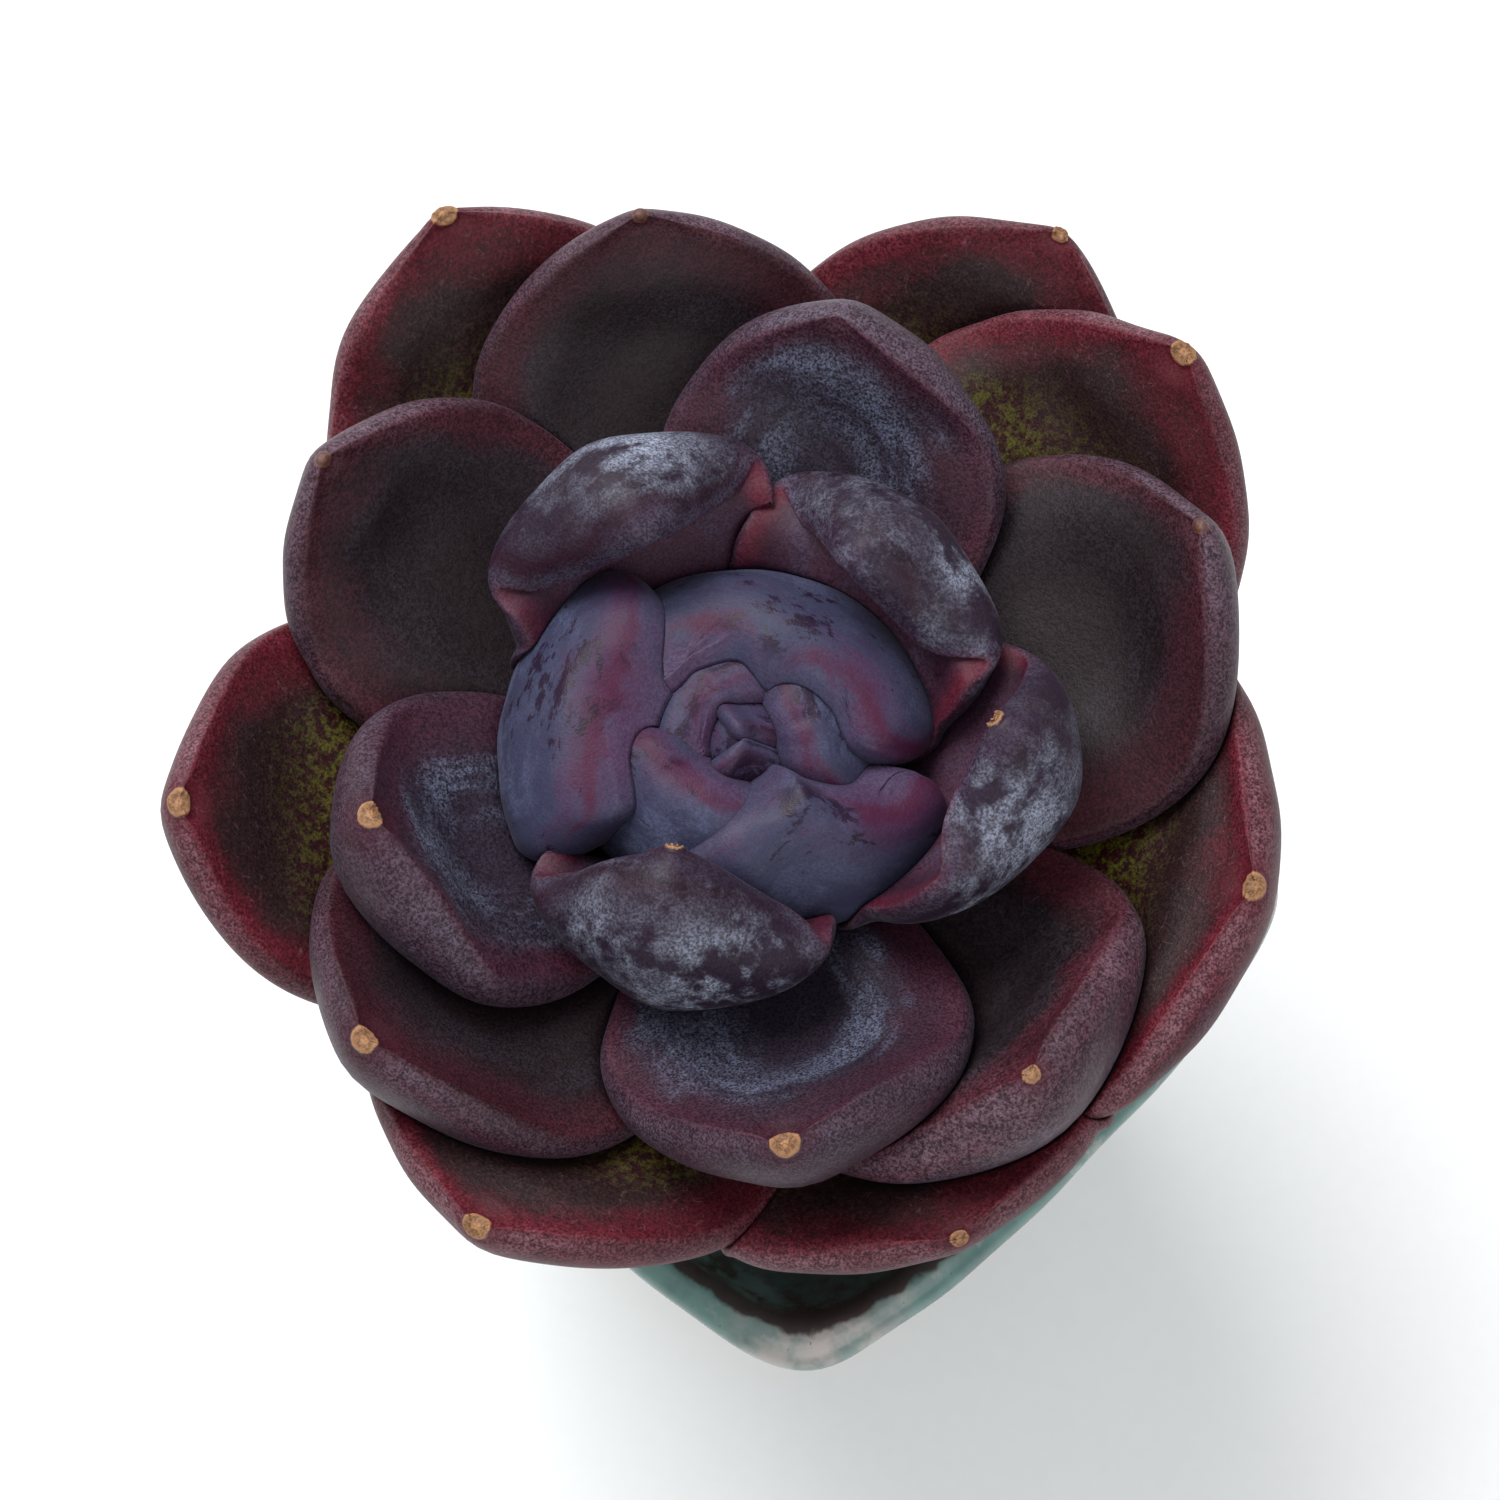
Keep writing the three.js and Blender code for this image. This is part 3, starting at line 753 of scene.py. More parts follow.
LEAVES = [
    Leaf(Blade(18, (15.6, 89.5), 13.5, (25, 158), (0.65, 0.52), 60, lean=2.4, margin=1, plump=0.4), HOOD,
         Tip.PLAIN),
    Leaf(Blade(2.5, (13.1, 90), 13.5, (22, 158), (0.65, 0.55), 58, lean=-2.1, margin=1.1, plump=0.2), HOOD,
         Tip.SMALL),
    Leaf(Blade(4, (17.2, 90.5), 13.6, (20, 160), (0.7, 0.58), 60, margin=1, plump=0.4), HOOD, Tip.PLAIN),
    Leaf(Blade(6.5, (19.8, 91), 13.8, (24, 140), (0.56, 0.38), 56, lean=4.6, roll=4, margin=1.15, plump=0.2),
         HOOD, Tip.SMALL),
    Leaf(Blade(3, (30.3, 89.5), 14.4, (15, 98), (0.55, 0.4), 42, lean=-3), MISTY, Tip.WORN),
    Leaf(Blade(8.5, (34.8, 90), 15, (15, 95), (0.55, 0.35), 38, lean=4.4, point=0.3), MISTY, Tip.PLAIN),
    Leaf(Blade(-3, (34.1, 89), 15.5, (12, 80), (0.55, 0.35), 38, lean=-3.4), MISTY, Tip.WORN),
    Leaf(Blade(-2.5, (40.7, 87.5), 15.2, (10, 82), (0.5, 0.35), 32, lean=2, point=1), MIDDLE, Tip.NUB),
    Leaf(Blade(10, (40.1, 87), 17, (10, 88), (0.5, 0.35), 32, lean=3.6), MIDDLE, Tip.NUB),
    Leaf(Blade(-8.5, (38.8, 86), 17, (8, 82), (0.5, 0.35), 32, lean=-1.4), MIDDLE, Tip.WORN),
    Leaf(Blade(7, (45.9, 86), 17.5, (8, 82), (0.5, 0.35), 30, point=0.6), MIDDLE, Tip.NUB),
    Leaf(Blade(-4.5, (36.0, 87), 17.2, (12, 94), (0.6, 0.42), 38, lean=-2.6, blunt=8), RUDDY, Tip.SMALL),
    Leaf(Blade(4, (45.1, 84), 17.5, (6, 80), (0.5, 0.35), 30, lean=3.2), OLD, Tip.WORN),
    Leaf(Blade(1, (49.1, 84), 18.5, (6, 78), (0.5, 0.35), 30), OLD, Tip.WORN),
    Leaf(Blade(-18, (43.8, 81), 18.4, (4, 66), (0.5, 0.3), 28, lean=-3), OLD, Tip.WORN),
    Leaf(Blade(-5.5, (53, 82), 18.3, (4, 72), (0.5, 0.35), 30, lean=-2.3), OLD, Tip.WORN),
    Leaf(Blade(-6, (42.1, 83), 20.8, (4, 85), (0.5, 0.35), 32, widest=0.76), OLD, Tip.WORN),
    Leaf(Blade(-8, (30, 66), 11, (1, 12), (0.5, 0.35), 22), OLD, Tip.NUB),
    Leaf(Blade(-6, (52.3, 80), 18, (3, 68), (0.5, 0.35), 28, lean=-7.3), OLD, Tip.SMALL),
    Leaf(Blade(-3.6, (42.5, 78.5), 17.2, (2, 60), (0.5, 0.3), 22, widest=0.78), OLD, Tip.SMALL),
    Leaf(Blade(-6, (40, 76), 12.6, (2, 60), (0.5, 0.35), 28), OLD, Tip.NUB),
]


def put_leaf(skin: Skin, rank: int, coat: LeafCoat, tip: Tip, age: Age) -> None:
    """Puts a finished leaf in the frame, for the node of its rank.

    Args:
        skin: Its surface.
        rank: Its place from the youngest, from 0.
        coat: Its finish.
        tip: Its kind of tip.
        age: Gives its slot.
    """
    node = f"leaf_{rank + 1:02d}"
    material = coat.material(f"{node}_coat", tip, seed=1.7 * rank)
    join_frame(skin.put(f"{node}_blade", material), node, age.value)


@dataclass
class Solid:
    """The outside of a piece that later leaves are pressed clear of.

    It is points and normals, how deep under them a point still counts as inside, and how far to the side
    of the nearest. A share of the points is compared at a time, to save memory. Lengths are mm.
    """

    points: np.ndarray
    normals: np.ndarray
    depth: float
    reach: float = 1.5
    batch: int = 3000

    def clear(self, points: np.ndarray, gaps: np.ndarray) -> np.ndarray:
        """Moves points that lie inside, or nearer than their gap, out along the nearest normal.

        Args:
            points: Points to move, (n, 3).
            gaps: The gap that each has to keep, (n,).

        Returns:
            The moved points.
        """
        low, high = self.points.min(axis=0) - self.reach, self.points.max(axis=0) + self.reach
        near = np.flatnonzero(np.all((points > low) & (points < high), axis=1))
        moved = points.copy()
        known = self.points.astype(np.float32)
        for part in np.array_split(near, max(1, len(near) // self.batch)):
            here = points[part].astype(np.float32)
            spans = (here ** 2).sum(1)[:, None] + (known ** 2).sum(1)[None] - 2 * here @ known.T
            nearest = spans.argmin(axis=1)
            normals = self.normals[nearest]
            offset = points[part] - self.points[nearest]
            height = (offset * normals).sum(axis=1)
            sideways = np.linalg.norm(offset - height[:, None] * normals, axis=1)
            caught = (height < gaps[part]) & (height > -self.depth) & (sideways < self.reach)
            push = np.where(caught, gaps[part] - height, 0)
            moved[part] += push[:, None] * normals
        return moved


@dataclass(frozen=True)
class Hood:
    """One closed leaf of the heart.

    turn is in degrees off the golden angle. dome is its outer face's radius, and its height over the
    heart's level. rim lists points of its upper margin as seen from above, each as mm to the left of its
    heading and mm out from the axis along it. mark is its worn tip in the same way. edge is how far in
    the margin's rounding reaches, and lean how much wider the dome is to the left.
    """

    turn: float
    dome: tuple[float, float]
    rim: tuple[tuple[float, float], ...]
    mark: tuple[float, float]
    edge: float
    coat: LeafCoat
    lean: float = 0.0

    def half_at(self, heading: np.ndarray) -> np.ndarray:
        """The dome's radius at headings from its own, wider to the left."""
        return self.dome[0] + self.lean * np.sin(heading)


HOODS = [
    Hood(1.5, (3.9, 5.2), ((-3.2, 0.9), (-1.6, 0.1), (0, -0.5), (1.6, 0.1), (3.2, 0.9)), (0, 0.2), 1.4,
         YOUNG),
    Hood(6, (4.5, 5.6), ((-4.0, 1.3), (-1.4, 0.1), (0.3, -0.7), (1.8, -0.2), (3.3, 0.5)), (0.4, 0.3), 1.6,
         YOUNG),
    Hood(6.5, (5.0, 5.6), ((-3.6, 1.6), (-1.6, 0.9), (0, 0.4), (1.9, 0.9), (4.0, 1.6)), (0.2, 1.2), 1.6,
         YOUNG),
    Hood(-9, (9.9, 7.4), ((-5.6, 2.7), (-3.8, 2.8), (-1.4, 3.7), (0.4, 4.0), (1.7, 3.7), (3.8, 2.0),
                          (5.2, 0.6)), (0.3, 6.4), 3.2, YOUNG),
    Hood(21.5, (11.2, 7.8), ((-6.9, 4.4), (-4.8, 3.5), (-2.1, 3.6), (0, 3.5), (1.7, 3.4), (3.8, 3.5),
                             (5.8, 4.4)), (-0.4, 5.8), 3.2, YOUNG),
    Hood(3, (13.9, 9.0), ((-9.8, 6.6), (-7.6, 6.4), (-4.8, 5.4), (-1.3, 5.6), (2.7, 4.8), (6.8, 3.1),
                          (8.8, 3.2)), (-4.5, 5.8), 3.4, YOUNG),
    Hood(-4.5, (16.0, 9.8), ((-11.6, 1.0), (-8.2, 4.3), (-4.4, 6.3), (0.2, 7.2), (3.2, 8.4), (6.9, 6.3),
                             (10.2, 2.9)), (0.2, 8.2), 4.2, YOUNG),
    Hood(-14, (15.3, 10.2), ((-8.4, 7.6), (-6.0, 7.6), (-3.0, 7.2), (0.6, 6.4), (2.9, 5.5), (5.6, 8.0),
                             (9.6, 9.4), (14.0, 7.8)), (2.9, 6.2), 2.8, YOUNG, lean=3.4),
    Hood(-1.5, (20.2, 10.8), ((-11.4, 11.6), (-8.8, 10.4), (-4.4, 10.5), (0.6, 11.4), (5.7, 10.6),
                              (10.6, 9.0), (12.8, 10.4)), (0.0, 14.5), 3.8, YOUNG),
]


@dataclass
class Envelope:
    """The outside of what already stands in the heart: a radius for each direction from its middle.

    Directions lie on a flat map whose distance from the middle is the angle off the upright.
    """

    cells: int = 440
    widest: float = 2.95
    stem_tip: tuple[float, float, float] = (2.5, 4.0, 12.0)
    radius: np.ndarray = field(init=False)

    def __post_init__(self) -> None:
        """Starts with the stem's tip: an ellipsoid that is long below the level and short above it."""
        self.radius = dome_radius(np.linalg.norm(self.map(), axis=-1), *self.stem_tip)

    def map(self) -> np.ndarray:
        """The map's places, (cells, cells, 2)."""
        line = np.linspace(-self.widest, self.widest, self.cells)
        return np.stack(np.meshgrid(line, line, indexing="ij"), axis=-1)

    def at(self, places: np.ndarray, radius: np.ndarray) -> np.ndarray:
        """A map's values at places between its cells, by weighting the four cells round each.

        Args:
            places: Places on the map, (..., 2).
            radius: The map's values.

        Returns:
            The value at each place.
        """
        spot = (places + self.widest) / (2 * self.widest) * (self.cells - 1)
        spot = np.clip(spot, 0, self.cells - 1.001)
        low = spot.astype(int)
        part = spot - low
        i, j, p, q = low[..., 0], low[..., 1], part[..., 0], part[..., 1]
        return ((1 - p) * (1 - q) * radius[i, j] + p * (1 - q) * radius[i + 1, j]
                + (1 - p) * q * radius[i, j + 1] + p * q * radius[i + 1, j + 1])

    def softened(self) -> np.ndarray:
        """The map averaged over about a millimetre, in steps of growing width."""
        soft = self.radius
        for span in (1, 2, 4, 6):
            for axis in (0, 1):
                soft = (soft + np.roll(soft, span, axis=axis) + np.roll(soft, -span, axis=axis)) / 3
        return soft


def dome_radius(tilt: np.ndarray, half: float, above: float, below: float) -> np.ndarray:
    """Radius of an ellipsoid at an angle off the upright, with its own height above and below its middle."""
    height = np.where(tilt < math.pi / 2, above, below)
    return 1 / np.sqrt((np.sin(tilt) / half) ** 2 + (np.cos(tilt) / height) ** 2)


def on_map(tilt: np.ndarray, heading: np.ndarray) -> np.ndarray:
    """Places on the flat map at angles off the upright and headings."""
    return np.stack([tilt * np.cos(heading), tilt * np.sin(heading)], axis=-1)


def turned(points: np.ndarray, angle: float) -> np.ndarray:
    """Flat points turned to the left by an angle."""
    x, y = points[..., 0], points[..., 1]
    return np.stack([x * math.cos(angle) - y * math.sin(angle),
                     x * math.sin(angle) + y * math.cos(angle)], axis=-1)


def pointing(places: np.ndarray) -> np.ndarray:
    """Unit directions of places on the flat map."""
    tilt, heading = np.linalg.norm(places, axis=-1), np.arctan2(places[..., 1], places[..., 0])
    return np.stack([np.sin(tilt) * np.cos(heading), np.sin(tilt) * np.sin(heading), np.cos(tilt)], axis=-1)


@dataclass
class Heart:
    """The closed middle of the rosette: leaves that hug what they cover, each a shell on a dome.

    Every hood starts on the outside of the earlier ones, a hair's gap away, and swells to its own dome with
    a round edge, so that the hoods close without voids and never cross. Lengths are mm. side gives the
    places of a hood's sides, as a share of the heading of its rim's end and a tilt in degrees. takeover is
    how sharply the dome takes over from the least thickness, and heart_of_rim where the middle lies from
    which a hood's rings grow, as a share of the way to its rim.
    """

    level: float = 79.0
    gap: float = 0.12
    least: float = 1.5
    takeover: float = 1.5
    edge_power: float = 0.5
    heart_of_rim: float = 0.62
    crowding: float = 1.7
    around: int = 168
    outer_rings: int = 60
    inner_rings: int = 16
    side: tuple[tuple[float, float], ...] = ((0.97, 84), (0.8, 108), (0.55, 130), (0.35, 148))
    foot_tilt: float = 156.0
    wave: float = 0.07
    wave_length: float = 7.0
    pinch: float = 0.35
    pinch_half: float = 0.55
    nub: float = 0.2
    nub_half: float = 0.7
    press_depth: float = 12.0

    def flat(self, across: np.ndarray, out: np.ndarray, hood: Hood) -> np.ndarray:
        """Places on the flat map of points of the hood's dome that are seen from above at across and out."""
        heading = np.arctan2(across, out)
        half = hood.half_at(heading)
        span = np.minimum(np.hypot(across, out), 0.97 * half)
        return on_map(np.arctan2(span, hood.dome[1] * np.sqrt(1 - (span / half) ** 2)), heading)

    def outline(self, hood: Hood) -> np.ndarray:
        """The hood's margin as a closed curve on the flat map, evenly spaced.

        The upper margin runs through the rim's points. From its two ends the sides narrow to the foot:
        their heading is a share of the end's, at growing tilts. The curve is a Catmull-Rom spline.

        Args:
            hood: The leaf's sizes.

        Returns:
            The curve, (around, 2), with the heading along +X.
        """
        rim = np.array(hood.rim)
        upper = self.flat(rim[:, 0], rim[:, 1], hood)
        knots = [upper]
        share, tilt = np.array(self.side).T
        for end, order in ((upper[-1], 1), (upper[0], -1)):
            side = on_map(np.radians(tilt), share * math.atan2(end[1], end[0]))
            knots.append(side[::order])
            if order == 1:
                knots.append(np.array([[math.radians(self.foot_tilt), 0.0]]))
        knots = np.concatenate(knots)
        t = np.linspace(0, 1, 24, endpoint=False)[None, :, None]
        before, here, after, later = (np.roll(knots, shift, axis=0)[:, None] for shift in (1, 0, -1, -2))
        curve = 0.5 * (2 * here + (after - before) * t + (2 * before - 5 * here + 4 * after - later) * t ** 2
                       + (3 * here - before - 3 * after + later) * t ** 3)
        curve = curve.reshape(-1, 2)
        closed = np.concatenate([curve, curve[:1]])
        run = run_along(closed)
        even = np.linspace(0, run[-1], self.around, endpoint=False)
        return np.stack([np.interp(even, run, closed[:, i]) for i in range(2)], axis=-1)

    def layer(self, hood: Hood, outline: np.ndarray, places: np.ndarray, floor: np.ndarray, soft: np.ndarray,
              below: float, seed: int) -> tuple[np.ndarray, dict[str, np.ndarray]]:
        """The outer face over places on the map, with the measures that a leaf's finish reads.

        The face lies on the hood's dome, or at least a leaf's thickness over what it covers where the
        dome is lower. Towards the margin it falls to the floor along a superellipse quadrant. A pinch
        runs from the worn tip to the margin.

        Args:
            hood: The leaf's sizes.
            outline: Its margin on the map.
            places: Places in its own frame, (..., 2).
            floor: Radius of its inner face at each.
            soft: The same, softened.
            below: How far its dome reaches below the level.
            seed: Seed of its undulation.

        Returns:
            The outer radius, and the measures across, along, inset, reach and from_tip.
        """
        heading = np.arctan2(places[..., 1], places[..., 0])
        rays = pointing(places)
        nearest = np.clip((rays.reshape(-1, 3) @ pointing(outline).T).max(axis=1), -1, 1)
        tilt = np.linalg.norm(places, axis=-1)
        dome = dome_radius(tilt, hood.half_at(heading), hood.dome[1], below)
        inset = np.arccos(nearest.reshape(places.shape[:-1])) * dome
        thin = soft + self.least
        full = thin + np.logaddexp(0, self.takeover * (dome - thin)) / self.takeover
        quarter = np.clip(inset / hood.edge, 0, 1)
        profile = (1 - (1 - quarter) ** 2) ** self.edge_power
        across, out = dome * rays[..., 1], dome * rays[..., 0]
        mark = pointing(self.flat(*hood.mark, hood))
        from_tip = dome * np.arccos(np.clip(rays @ mark, -1, 1))
        pinch = (bell(across - hood.mark[0], 0, self.pinch_half) * smooth(hood.mark[1] + 0.6 - out, 0, 1.2)
                 * smooth(tilt, 0, 0.5))
        relief = (self.wave * ripple(across, dome * tilt, self.wave_length, seed, 5) - self.pinch * pinch
                  + self.nub * bell(from_tip, 0, self.nub_half))
        outer = floor + np.maximum(full - floor, 0.3) * profile + relief * profile
        foot = math.radians(self.foot_tilt)
        reach = (foot - places[..., 0]) / (foot - min(outline[:, 0].min(), 0.6))
        return outer, {"across": across, "along": hood.dome[0] * (foot - places[..., 0]), "inset": inset,
                       "reach": np.clip(reach, 0, 1), "from_tip": from_tip}

    def build(self, rosette: "Rosette") -> Solid:
        """Makes the growing point and the hoods, youngest first, and puts each in the frame.

        Args:
            rosette: Gives the golden angle, the first heading and the heights of the leaves' feet.

        Returns:
            The outside of the heart, to press the open leaves clear of.
        """
        stands = Envelope()
        self.build_tip(stands)
        for rank, hood in enumerate(HOODS):
            heading = rosette.heading(rank, hood.turn)
            below = self.level - rosette.base_height(rank) + 0.8
            outline = self.outline(hood)
            inner = 1 - self.heart_of_rim
            middle = np.array([self.heart_of_rim * outline[:, 0].max() + inner * outline[:, 0].min(), 0.0])
            soft = stands.softened()
            share, under = (1 - np.linspace(0, 1, count + 1)[:-1] ** self.crowding
                            for count in (self.outer_rings, self.inner_rings))
            rings = middle + np.concatenate([under[:0:-1], share])[:, None, None] * (outline - middle)[None]
            world = turned(rings, heading)
            floor = stands.at(world, stands.radius) + self.gap
            level = stands.at(world, soft) + self.gap
            outer, measures = self.layer(hood, outline, rings, floor, level, below, rank)
            top = np.arange(len(rings)) >= self.inner_rings - 1
            points = self.place(world, np.where(top[:, None], outer, floor))
            face = np.broadcast_to(np.where(top, 0.0, 1.0)[:, None], floor.shape)
            skin = Skin(points, ring_middles(points),
                        {"blade_place": np.stack([measures[key] for key in ("across", "along", "inset")], -1),
                         "blade_side": np.stack([face, measures["reach"], measures["from_tip"]], -1)})
            put_leaf(skin, rank, hood.coat, Tip.PLAIN, Age.YOUNG)
            self.cover(stands, hood, outline, middle, heading, soft, below, rank)
        return self.outside(stands)

    def cover(self, stands: Envelope, hood: Hood, outline: np.ndarray, middle: np.ndarray, heading: float,
              soft: np.ndarray, below: float, seed: int) -> None:
        """Raises the envelope to the hood's outer face inside its margin.

        Args:
            stands: The envelope, changed in place.
            hood: The leaf's sizes.
            outline: Its margin on the map, in its own frame.
            middle: A place that sees the whole margin.
            heading: Its heading, radians.
            soft: The softened envelope from before it.
            below: How far its dome reaches below the level.
            seed: Seed of its undulation.
        """
        places = turned(stands.map(), -heading)
        spokes, arms = outline - middle, places - middle
        angles = np.arctan2(spokes[:, 1], spokes[:, 0])
        order = np.argsort(angles)
        reach = np.interp(np.arctan2(arms[..., 1], arms[..., 0]), angles[order],
                          np.linalg.norm(spokes, axis=1)[order], period=2 * math.pi)
        inside = np.linalg.norm(arms, axis=-1) < reach
        floor = stands.radius[inside] + self.gap
        outer, _ = self.layer(hood, outline, places[inside], floor, soft[inside] + self.gap, below, seed)
        stands.radius[inside] = np.maximum(outer, floor)

    def place(self, world: np.ndarray, radius: np.ndarray) -> np.ndarray:
        """Points in the part's frame, from places on the map and radii."""
        return np.array([*PLANT, self.level]) + radius[..., None] * pointing(world)

    def build_tip(self, stands: Envelope) -> None:
        """Makes the growing point under the hoods: a small dome of three folded leaves.

        Args:
            stands: The envelope at the start, which gives the dome.
        """
        tilt, angle = np.linspace(0.05, 2.2, 40)[:, None], circle(48)[None]
        places = on_map(tilt, angle)
        folds = np.abs(np.sin(1.5 * angle + 1.2 * tilt))
        radius = stands.at(places, stands.radius) * (0.9 + 0.1 * folds) - 0.1
        points = self.place(places, radius)
        inset = np.broadcast_to(4 * folds, radius.shape)
        measures = {"blade_place": np.stack([radius * angle, radius * tilt, inset], -1),
                    "blade_side": np.stack([0 * radius, 0 * radius + 0.8, radius * tilt], -1)}
        skin = Skin(points, ring_middles(points), measures)
        coat = YOUNG.material("bud_coat", Tip.PLAIN, seed=60.0)
        join_frame(skin.put("bud_blades", coat), "bud", Age.YOUNG.value)

    def outside(self, stands: Envelope) -> Solid:
        """The heart's envelope, thinned out, as a solid to press clear of."""
        places = on_map(np.linspace(0.15, 2.5, 64)[:, None], circle(96)[None])
        points = self.place(places, stands.at(places, stands.softened()))
        return Solid(points.reshape(-1, 3), grid_normals(points).reshape(-1, 3), self.press_depth)


class Midrib:
    """A leaf's middle line: a cubic curve in the upright plane of its heading, read by its length."""

    def __init__(self, blade: Blade, base: tuple[float, float], steps: int = 800) -> None:
        """Sets the curve's four points and a table of its length.

        Args:
            blade: The leaf's sizes.
            base: The foot: distance from the axis, and height.
            steps: Steps of the table.
        """
        self.foot, self.tip = np.array(base, float), np.array(blade.tip, float)
        chord = np.linalg.norm(self.tip - self.foot)
        rise, curl = (math.radians(angle) for angle in blade.slope)
        self.first = self.foot + blade.hold[0] * chord * np.array([math.cos(rise), math.sin(rise)])
        self.second = self.tip - blade.hold[1] * chord * np.array([math.cos(curl), math.sin(curl)])
        self.table = np.linspace(0, 1, steps + 1)
        self.lengths = run_along(self.curve(self.table))
        self.length = self.lengths[-1]

    def curve(self, t: np.ndarray) -> np.ndarray:
        """Points of the cubic curve at its own parameter."""
        t = t[:, None]
        return ((1 - t) ** 3 * self.foot + 3 * t * (1 - t) ** 2 * self.first
                + 3 * t * t * (1 - t) * self.second + t ** 3 * self.tip)

    def parameter(self, share: np.ndarray) -> np.ndarray:
        """The curve's own parameter at shares of the length."""
        return np.interp(share * self.length, self.lengths, self.table)

    def point(self, share: np.ndarray) -> np.ndarray:
        """Points at shares of the length."""
        return self.curve(self.parameter(share))

    def slope(self, share: np.ndarray) -> np.ndarray:
        """Unit directions at shares of the length."""
        t = self.parameter(share)[:, None]
        run = ((1 - t) ** 2 * (self.first - self.foot) + 2 * t * (1 - t) * (self.second - self.first)
               + t * t * (self.tip - self.second))
        return run / np.linalg.norm(run, axis=1, keepdims=True)

    def bend(self, share: np.ndarray, step: float = 0.02) -> np.ndarray:
        """How sharply the curve bends at shares of the length, over a step to each side, radians per mm."""
        early, late = np.maximum(0, share - step), np.minimum(1, share + step)
        turning = np.clip((self.slope(early) * self.slope(late)).sum(axis=1), -1, 1)
        return np.arccos(turning) / ((late - early) * self.length)


@dataclass
class Grown:
    """A leaf's grid while it is being shaped, with the measures that its relief and finish read."""

    rings: np.ndarray
    tip: np.ndarray
    base: np.ndarray
    place: np.ndarray
    side: np.ndarray
    hollow: np.ndarray


@dataclass
class Rosette:
    """The leaves on their golden-angle spiral, from the growing point outwards. Lengths are mm.

    The relief is: a roll of roll mm along the margin, fill as the share of the hollow that is filled,
    waves over the faces, frill along the margin, and at the tip the rings of cork, each as its height in
    mm and its place and width in radii of the tip, with a crumble over them, or a nub.
    """

    golden_angle: float = 137.5
    first_angle: float = 231.5
    youngest_base_z: float = 74.0
    oldest_base_z: float = 64.0
    base_inside_stem: float = 0.6
    oldest: int = 29
    young_until: float = 0.45
    middle_until: float = 0.72
    soil_top: float = 50.0
    stem_top: float = 75.0
    stem_radius: float = 4.6
    stem_tip_radius: float = 2.2
    thin: float = 3.0
    thick: float = 5.6
    full_thickness_age: float = 0.45
    narrow_base: float = 0.24
    swell_power: float = 1.2
    tip_power: float = 2.1
    tip_round: float = 0.53
    thin_base: float = 0.6
    thickest: float = 1.15
    thickest_at: float = 0.55
    roll: float = 1.3
    roll_at: float = 4.6
    roll_reach: float = 3.4
    fill: float = 0.58
    full_size: float = 16.0
    waves: float = 0.12
    frill: float = 0.1
    cork_rings: tuple[tuple[float, float, float], ...] = ((0.24, 0.78, 0.2), (-0.2, 0.0, 0.4),
                                                          (-0.06, 1.25, 0.2))
    crumble: float = 0.05
    nub: float = 0.5
    point_reach: float = 3.4
    upper_face: float = 0.28
    lower_face: float = 0.72
    keel: float = 0.15
    keel_half: float = 0.28
    least_wrap: float = 20.0
    base_wrap: float = 0.8
    fold_room: float = 1.4
    crowding: float = 2.0
    broad: float = 12.0
    broad_shape: tuple[int, int] = (112, 96)
    small_shape: tuple[int, int] = (84, 72)
    upper_gap: float = 0.14
    lower_gap: float = 0.9
    press_depth: float = 10.0

    def heading(self, rank: int, turn: float) -> float:
        """Heading of a leaf, radians: the golden angle on from the leaf before it, and its own turn."""
        return math.radians(self.first_angle - self.golden_angle * rank + turn)

    def stem_radius_at(self, z: float) -> float:
        """The stem's radius, which thins towards the growing point."""
        up = min(1.0, max(0.0, (z - self.soil_top) / (self.stem_top - self.soil_top)))
        return self.stem_radius + (self.stem_tip_radius - self.stem_radius) * up ** 1.3

    def base_height(self, rank: int) -> float:
        """Height of a leaf's foot on the stem: the older, the lower."""
        drop = (rank / self.oldest) ** 0.8
        return self.youngest_base_z - (self.youngest_base_z - self.oldest_base_z) * drop

    def section(self, blade: Blade, age: float, rib: Midrib,
                s: np.ndarray) -> tuple[np.ndarray, np.ndarray, np.ndarray]:
        """The section's sizes along the leaf.

        The half width swells as a quarter of a sine up to the widest place and closes as a power of the
        way past it. The thickness swells as a quarter of a sine and closes at the tip. The wrap runs
        evenly to the tip's, and is eased where the midrib bends so that the margins never fold.

        Args:
            blade: The leaf's sizes.
            age: 0 for the youngest leaf and 1 for the oldest.
            rib: Its midrib.
            s: Shares of the midrib's length.

        Returns:
            The half width, the thickness and the wrap in radians at each share.
        """
        swell = np.sin(np.minimum(s / blade.widest, 1) * math.pi / 2) ** self.swell_power
        past = np.maximum(0, (s - blade.widest) / (1 - blade.widest))
        width = blade.half * (self.narrow_base + (1 - self.narrow_base) * swell)
        width = width * (1 - past ** self.tip_power) ** self.tip_round
        fat = self.thin + (self.thick - self.thin) * min(1.0, age / self.full_thickness_age)
        along = np.sin(np.minimum(s / self.thickest_at, 1) * math.pi / 2)
        thickness = fat * (self.thin_base + (self.thickest - self.thin_base) * along)
        thickness = thickness * np.sqrt(1 - s ** blade.blunt)
        wrap_at_base = max(self.least_wrap, self.base_wrap * blade.wrap)
        wrap = np.radians(wrap_at_base + (blade.wrap - wrap_at_base) * s)
        height = width / wrap * (1 - np.cos(wrap))
        return width, thickness, wrap / (1 + (self.fold_room * rib.bend(s) * height) ** 4) ** 0.25

